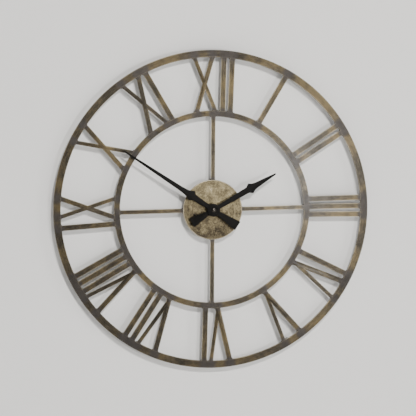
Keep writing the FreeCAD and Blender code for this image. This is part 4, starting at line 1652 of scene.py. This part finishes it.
class CLOCK_OT_knob(bpy.types.Operator):
    """Make the setting knob with its knurled edge"""

    bl_idname = "wall_clock.knob"
    bl_label = "Setting knob"

    def execute(self, context):
        grey = finish_of("grey")
        low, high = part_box("setting_knob")
        centre = (low + high) / 2
        radius, ridge = (high.z - low.z) / 2, 0.28 * MM
        body = radius - ridge
        dish = 0.5 * MM
        profile = [(0, low.y), (body, low.y), (body, high.y - dish)]
        profile += arc((body - dish, high.y - dish), dish, 0, 90)
        profile += [(body - 2 * dish, high.y), (body - 2.6 * dish, high.y - dish), (0, high.y - dish)]
        knob = turned_piece("knob_body", profile, centre, grey)
        fit(knob, "setting_set", "grey_plastic", "setting_knob")
        knurls = knurl_shape().run(
            "knob_knurls",
            bpy.data.meshes.new("knob_knurls"),
            grey,
            Count=sizes().knurls,
            Radius=body,
            Ridge=ridge,
            Tall=high.y - low.y - 2 * dish,
            Middle=(centre.x, centre.y, centre.z),
        )
        shade(knurls)
        fit(knurls, "setting_set", "grey_plastic")
        bar = block(
            "knob_grip",
            (centre.x - 0.5 * MM, high.y - 1.2 * dish, centre.z - body + 2.9 * dish),
            (centre.x + 0.5 * MM, high.y, centre.z + body - 2.9 * dish),
            0.2 * MM,
            grey,
        )
        fit(bar, "setting_set", "grey_plastic")
        return {"FINISHED"}


class CLOCK_OT_battery(bpy.types.Operator):
    """Make the battery with its crimped jacket and end cap"""

    bl_idname = "wall_clock.battery"
    bl_label = "Battery"

    def execute(self, context):
        low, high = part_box("battery_cell")
        centre = (low + high) / 2
        radius, nominal = (high.z - low.z) / 2, 7.1
        right = middle("contact_positive").x > middle("contact_negative").x
        start, way = (low.x, 1) if right else (high.x, -1)
        total = high.x - low.x
        profile = [(0, 0.4), (4.6, 0.4), (5.0, 0.0), (6.2, 0.0), (6.75, 0.35), (nominal, 0.9)]
        profile += [(nominal, 2.3), (6.95, 2.6), (6.95, 2.9), (nominal, 3.2)]
        far = total / MM - 1.4
        profile += [(nominal, far - 2.4), (6.9, far - 1.9), (nominal, far - 1.4), (nominal, far - 0.7)]
        profile += [(6.6, far), (5.6, far), (5.3, far - 0.3), (2.9, far - 0.3)]
        profile += [(2.75, far + 1.1), (2.45, far + 1.4), (0, far + 1.4)]
        scale = radius / nominal
        placed = [(reach * scale, start + way * along * MM) for reach, along in profile]
        cell = turned_piece("battery_body", placed, centre, finish_of("jacket"), "X", 64, 30)
        fit(cell, "frame", "cell_jacket", "battery_cell")
        return {"FINISHED"}


class CLOCK_OT_inner_parts(bpy.types.Operator):
    """Finish the plates, wheels, motor and contacts inside the case"""

    bl_idname = "wall_clock.inner_parts"
    bl_label = "Inner parts"

    def execute(self, context):
        by_slot = {
            "bright_nickel": "nickel",
            "turned_brass": "brass",
            "zinc_steel": "zinc",
            "copper_wire": "copper",
            "black_plastic": "case",
            "natural_plastic": "natural",
            "wheel_plastic": "white",
            "green_laminate": "laminate",
        }
        for part in frame["record"]["subparts"]:
            node = NODES[part["node"]]
            if node.hide_render:
                continue
            finish = finish_of(by_slot[part["material_slot"]])
            if not node.data.materials:
                node.data.materials.append(finish)
            for slot in node.material_slots:
                slot.material = finish
        return {"FINISHED"}


# Stage

STAGE_HALF = 4.0
FLOOR_Z = -0.42
WALL_TOP = 3.2
WALL_GAP = 0.3 * MM

WARM = (1.0, 0.97, 0.92)
SOFT = (1.0, 0.98, 0.95)
PLAIN = (1.0, 1.0, 1.0)

# Each lamp's name, place, width and height, watts and colour. All face the middle of the dial.
LAMPS = (
    ("upper_lamp", (0.1, -2.8, 1.17), (0.22, 0.22), 64, WARM),
    ("side_lamp", (2.2, -2.2, 0.2), (1.0, 1.2), 14, SOFT),
    ("glance_lamp", (0.81, -2.95, -0.12), (0.15, 0.20), 25, SOFT),
    ("rear_lamp", (-1.6, 2.4, 1.3), (1.4, 1.4), 55, PLAIN),
    ("low_rear_lamp", (1.8, 2.0, 0.2), (1.2, 1.2), 24, PLAIN),
)
SKY_COLOUR = (0.86, 0.88, 0.90, 1.0)
SKY_STRENGTH = 0.11

CAMERA_PLACE = (-0.4821, -2.7958, 0.2044)
CAMERA_AIM = (-0.00745, BAR_FRONT, 0.0030)
CAMERA_ROLL = math.radians(-0.44)
LENS_MM, SENSOR_MM = 155.9, 36.0


def backdrop_finish():
    """Plain pale paint that shows only from the front, so that the back can be seen from behind."""
    finish = Finish("pale_wall")
    mottle = finish.noise(finish.place(), 60.0, 3.0, 0.5)
    paint_shader = finish.add(
        "ShaderNodeBsdfPrincipled",
        None,
        {"Base Color": tint("wall"), "Roughness": 0.85 + mottle.swing(0.05)},
    )
    clear = finish.add("ShaderNodeBsdfTransparent")
    behind = finish.add("ShaderNodeNewGeometry", output="Backfacing")
    both = finish.add("ShaderNodeMixShader", None, {0: behind, 1: paint_shader, 2: clear})
    finish.add("ShaderNodeOutputMaterial", None, {"Surface": both})
    return finish.material


def sheet_of(name, corners, material):
    """A flat four-sided sheet for the stage."""
    mesh = bpy.data.meshes.new(name)
    mesh.from_pydata(corners, [], [(0, 1, 2, 3)])
    sheet = new_piece(name, mesh)
    mesh.materials.append(material)
    return sheet


def aimed(name, data, place, target, roll=0.0):
    """A lamp or camera at a place, turned to face a target and then rolled about its own view."""
    made = bpy.data.objects.new(name, data)
    made.location = place
    level = (Vector(target) - Vector(place)).to_track_quat("-Z", "Y")
    made.rotation_mode = "QUATERNION"
    made.rotation_quaternion = level @ Quaternion((0, 0, 1), roll)
    bpy.context.scene.collection.objects.link(made)
    return made


def lamp(name, place, size, power, shade_of_light):
    """A rectangular lamp that faces the middle of the dial."""
    light = bpy.data.lights.new(name, "AREA")
    light.shape = "RECTANGLE"
    light.size, light.size_y = size
    light.energy = power
    light.color = shade_of_light
    aimed(name, light, place, (0.0, BAR_FRONT, 0.0))


class CLOCK_OT_stage(bpy.types.Operator):
    """Make the pale wall and floor, the lamps and the camera"""

    bl_idname = "wall_clock.stage"
    bl_label = "Stage"

    def execute(self, context):
        wall = sheet_of(
            "backdrop_wall",
            [
                (-STAGE_HALF, WALL_GAP, FLOOR_Z),
                (STAGE_HALF, WALL_GAP, FLOOR_Z),
                (STAGE_HALF, WALL_GAP, WALL_TOP),
                (-STAGE_HALF, WALL_GAP, WALL_TOP),
            ],
            backdrop_finish(),
        )
        wall.visible_shadow = False
        finish = Finish("pale_floor")
        mottle = finish.noise(finish.place(), 90.0, 3.0, 0.5)
        finish.surface(Base_Color=tint("floor"), Roughness=0.7 + mottle.swing(0.1))
        corners = ((-1, -1), (1, -1), (1, 1), (-1, 1))
        sheet_of(
            "studio_floor",
            [(x * STAGE_HALF, y * STAGE_HALF, FLOOR_Z) for x, y in corners],
            finish.material,
        )
        for settings in LAMPS:
            lamp(*settings)

        world = bpy.data.worlds.new("pale_studio")
        world.use_nodes = True
        sky = world.node_tree.nodes["Background"]
        sky.inputs["Color"].default_value = SKY_COLOUR
        sky.inputs["Strength"].default_value = SKY_STRENGTH
        bpy.context.scene.world = world

        lens = bpy.data.cameras.new("studio_camera")
        lens.lens, lens.sensor_width = LENS_MM, SENSOR_MM
        lens.clip_start, lens.clip_end = 0.05, 50.0
        camera = aimed("studio_camera", lens, CAMERA_PLACE, CAMERA_AIM, CAMERA_ROLL)
        bpy.context.scene.camera = camera
        return {"FINISHED"}


OPERATORS = (
    CLOCK_OT_stage,
    CLOCK_OT_rings,
    CLOCK_OT_numerals,
    CLOCK_OT_spokes,
    CLOCK_OT_disc,
    CLOCK_OT_welds,
    CLOCK_OT_hanger,
    CLOCK_OT_studs,
    CLOCK_OT_hands,
    CLOCK_OT_hand_nut,
    CLOCK_OT_fixing,
    CLOCK_OT_case,
    CLOCK_OT_cover,
    CLOCK_OT_knob,
    CLOCK_OT_battery,
    CLOCK_OT_inner_parts,
)


class CLOCK_PT_panel(bpy.types.Panel):
    """Lists the clock's operators, sizes and colours"""

    bl_idname = "CLOCK_PT_panel"
    bl_label = "Wall clock"
    bl_space_type = "VIEW_3D"
    bl_region_type = "UI"
    bl_category = "Clock"

    def draw(self, context):
        for operator in OPERATORS:
            self.layout.operator(operator.bl_idname)
        for group in (context.scene.clock_sizes, context.scene.clock_colours):
            box = self.layout.box()
            for name in group.bl_rna.properties.keys():
                if name not in ("rna_type", "name"):
                    box.prop(group, name)


CLASSES = (ClockSizes, ClockColours, *OPERATORS, CLOCK_PT_panel)


def register():
    for kind in CLASSES:
        bpy.utils.register_class(kind)
    bpy.types.Scene.clock_sizes = PointerProperty(type=ClockSizes)
    bpy.types.Scene.clock_colours = PointerProperty(type=ClockColours)


def unregister():
    del bpy.types.Scene.clock_colours
    del bpy.types.Scene.clock_sizes
    for kind in reversed(CLASSES):
        bpy.utils.unregister_class(kind)


def main():
    """Makes the whole clock."""
    register()
    for operator in OPERATORS:
        group, name = operator.bl_idname.split(".")
        getattr(getattr(bpy.ops, group), name)()


if __name__ == "__main__":
    main()
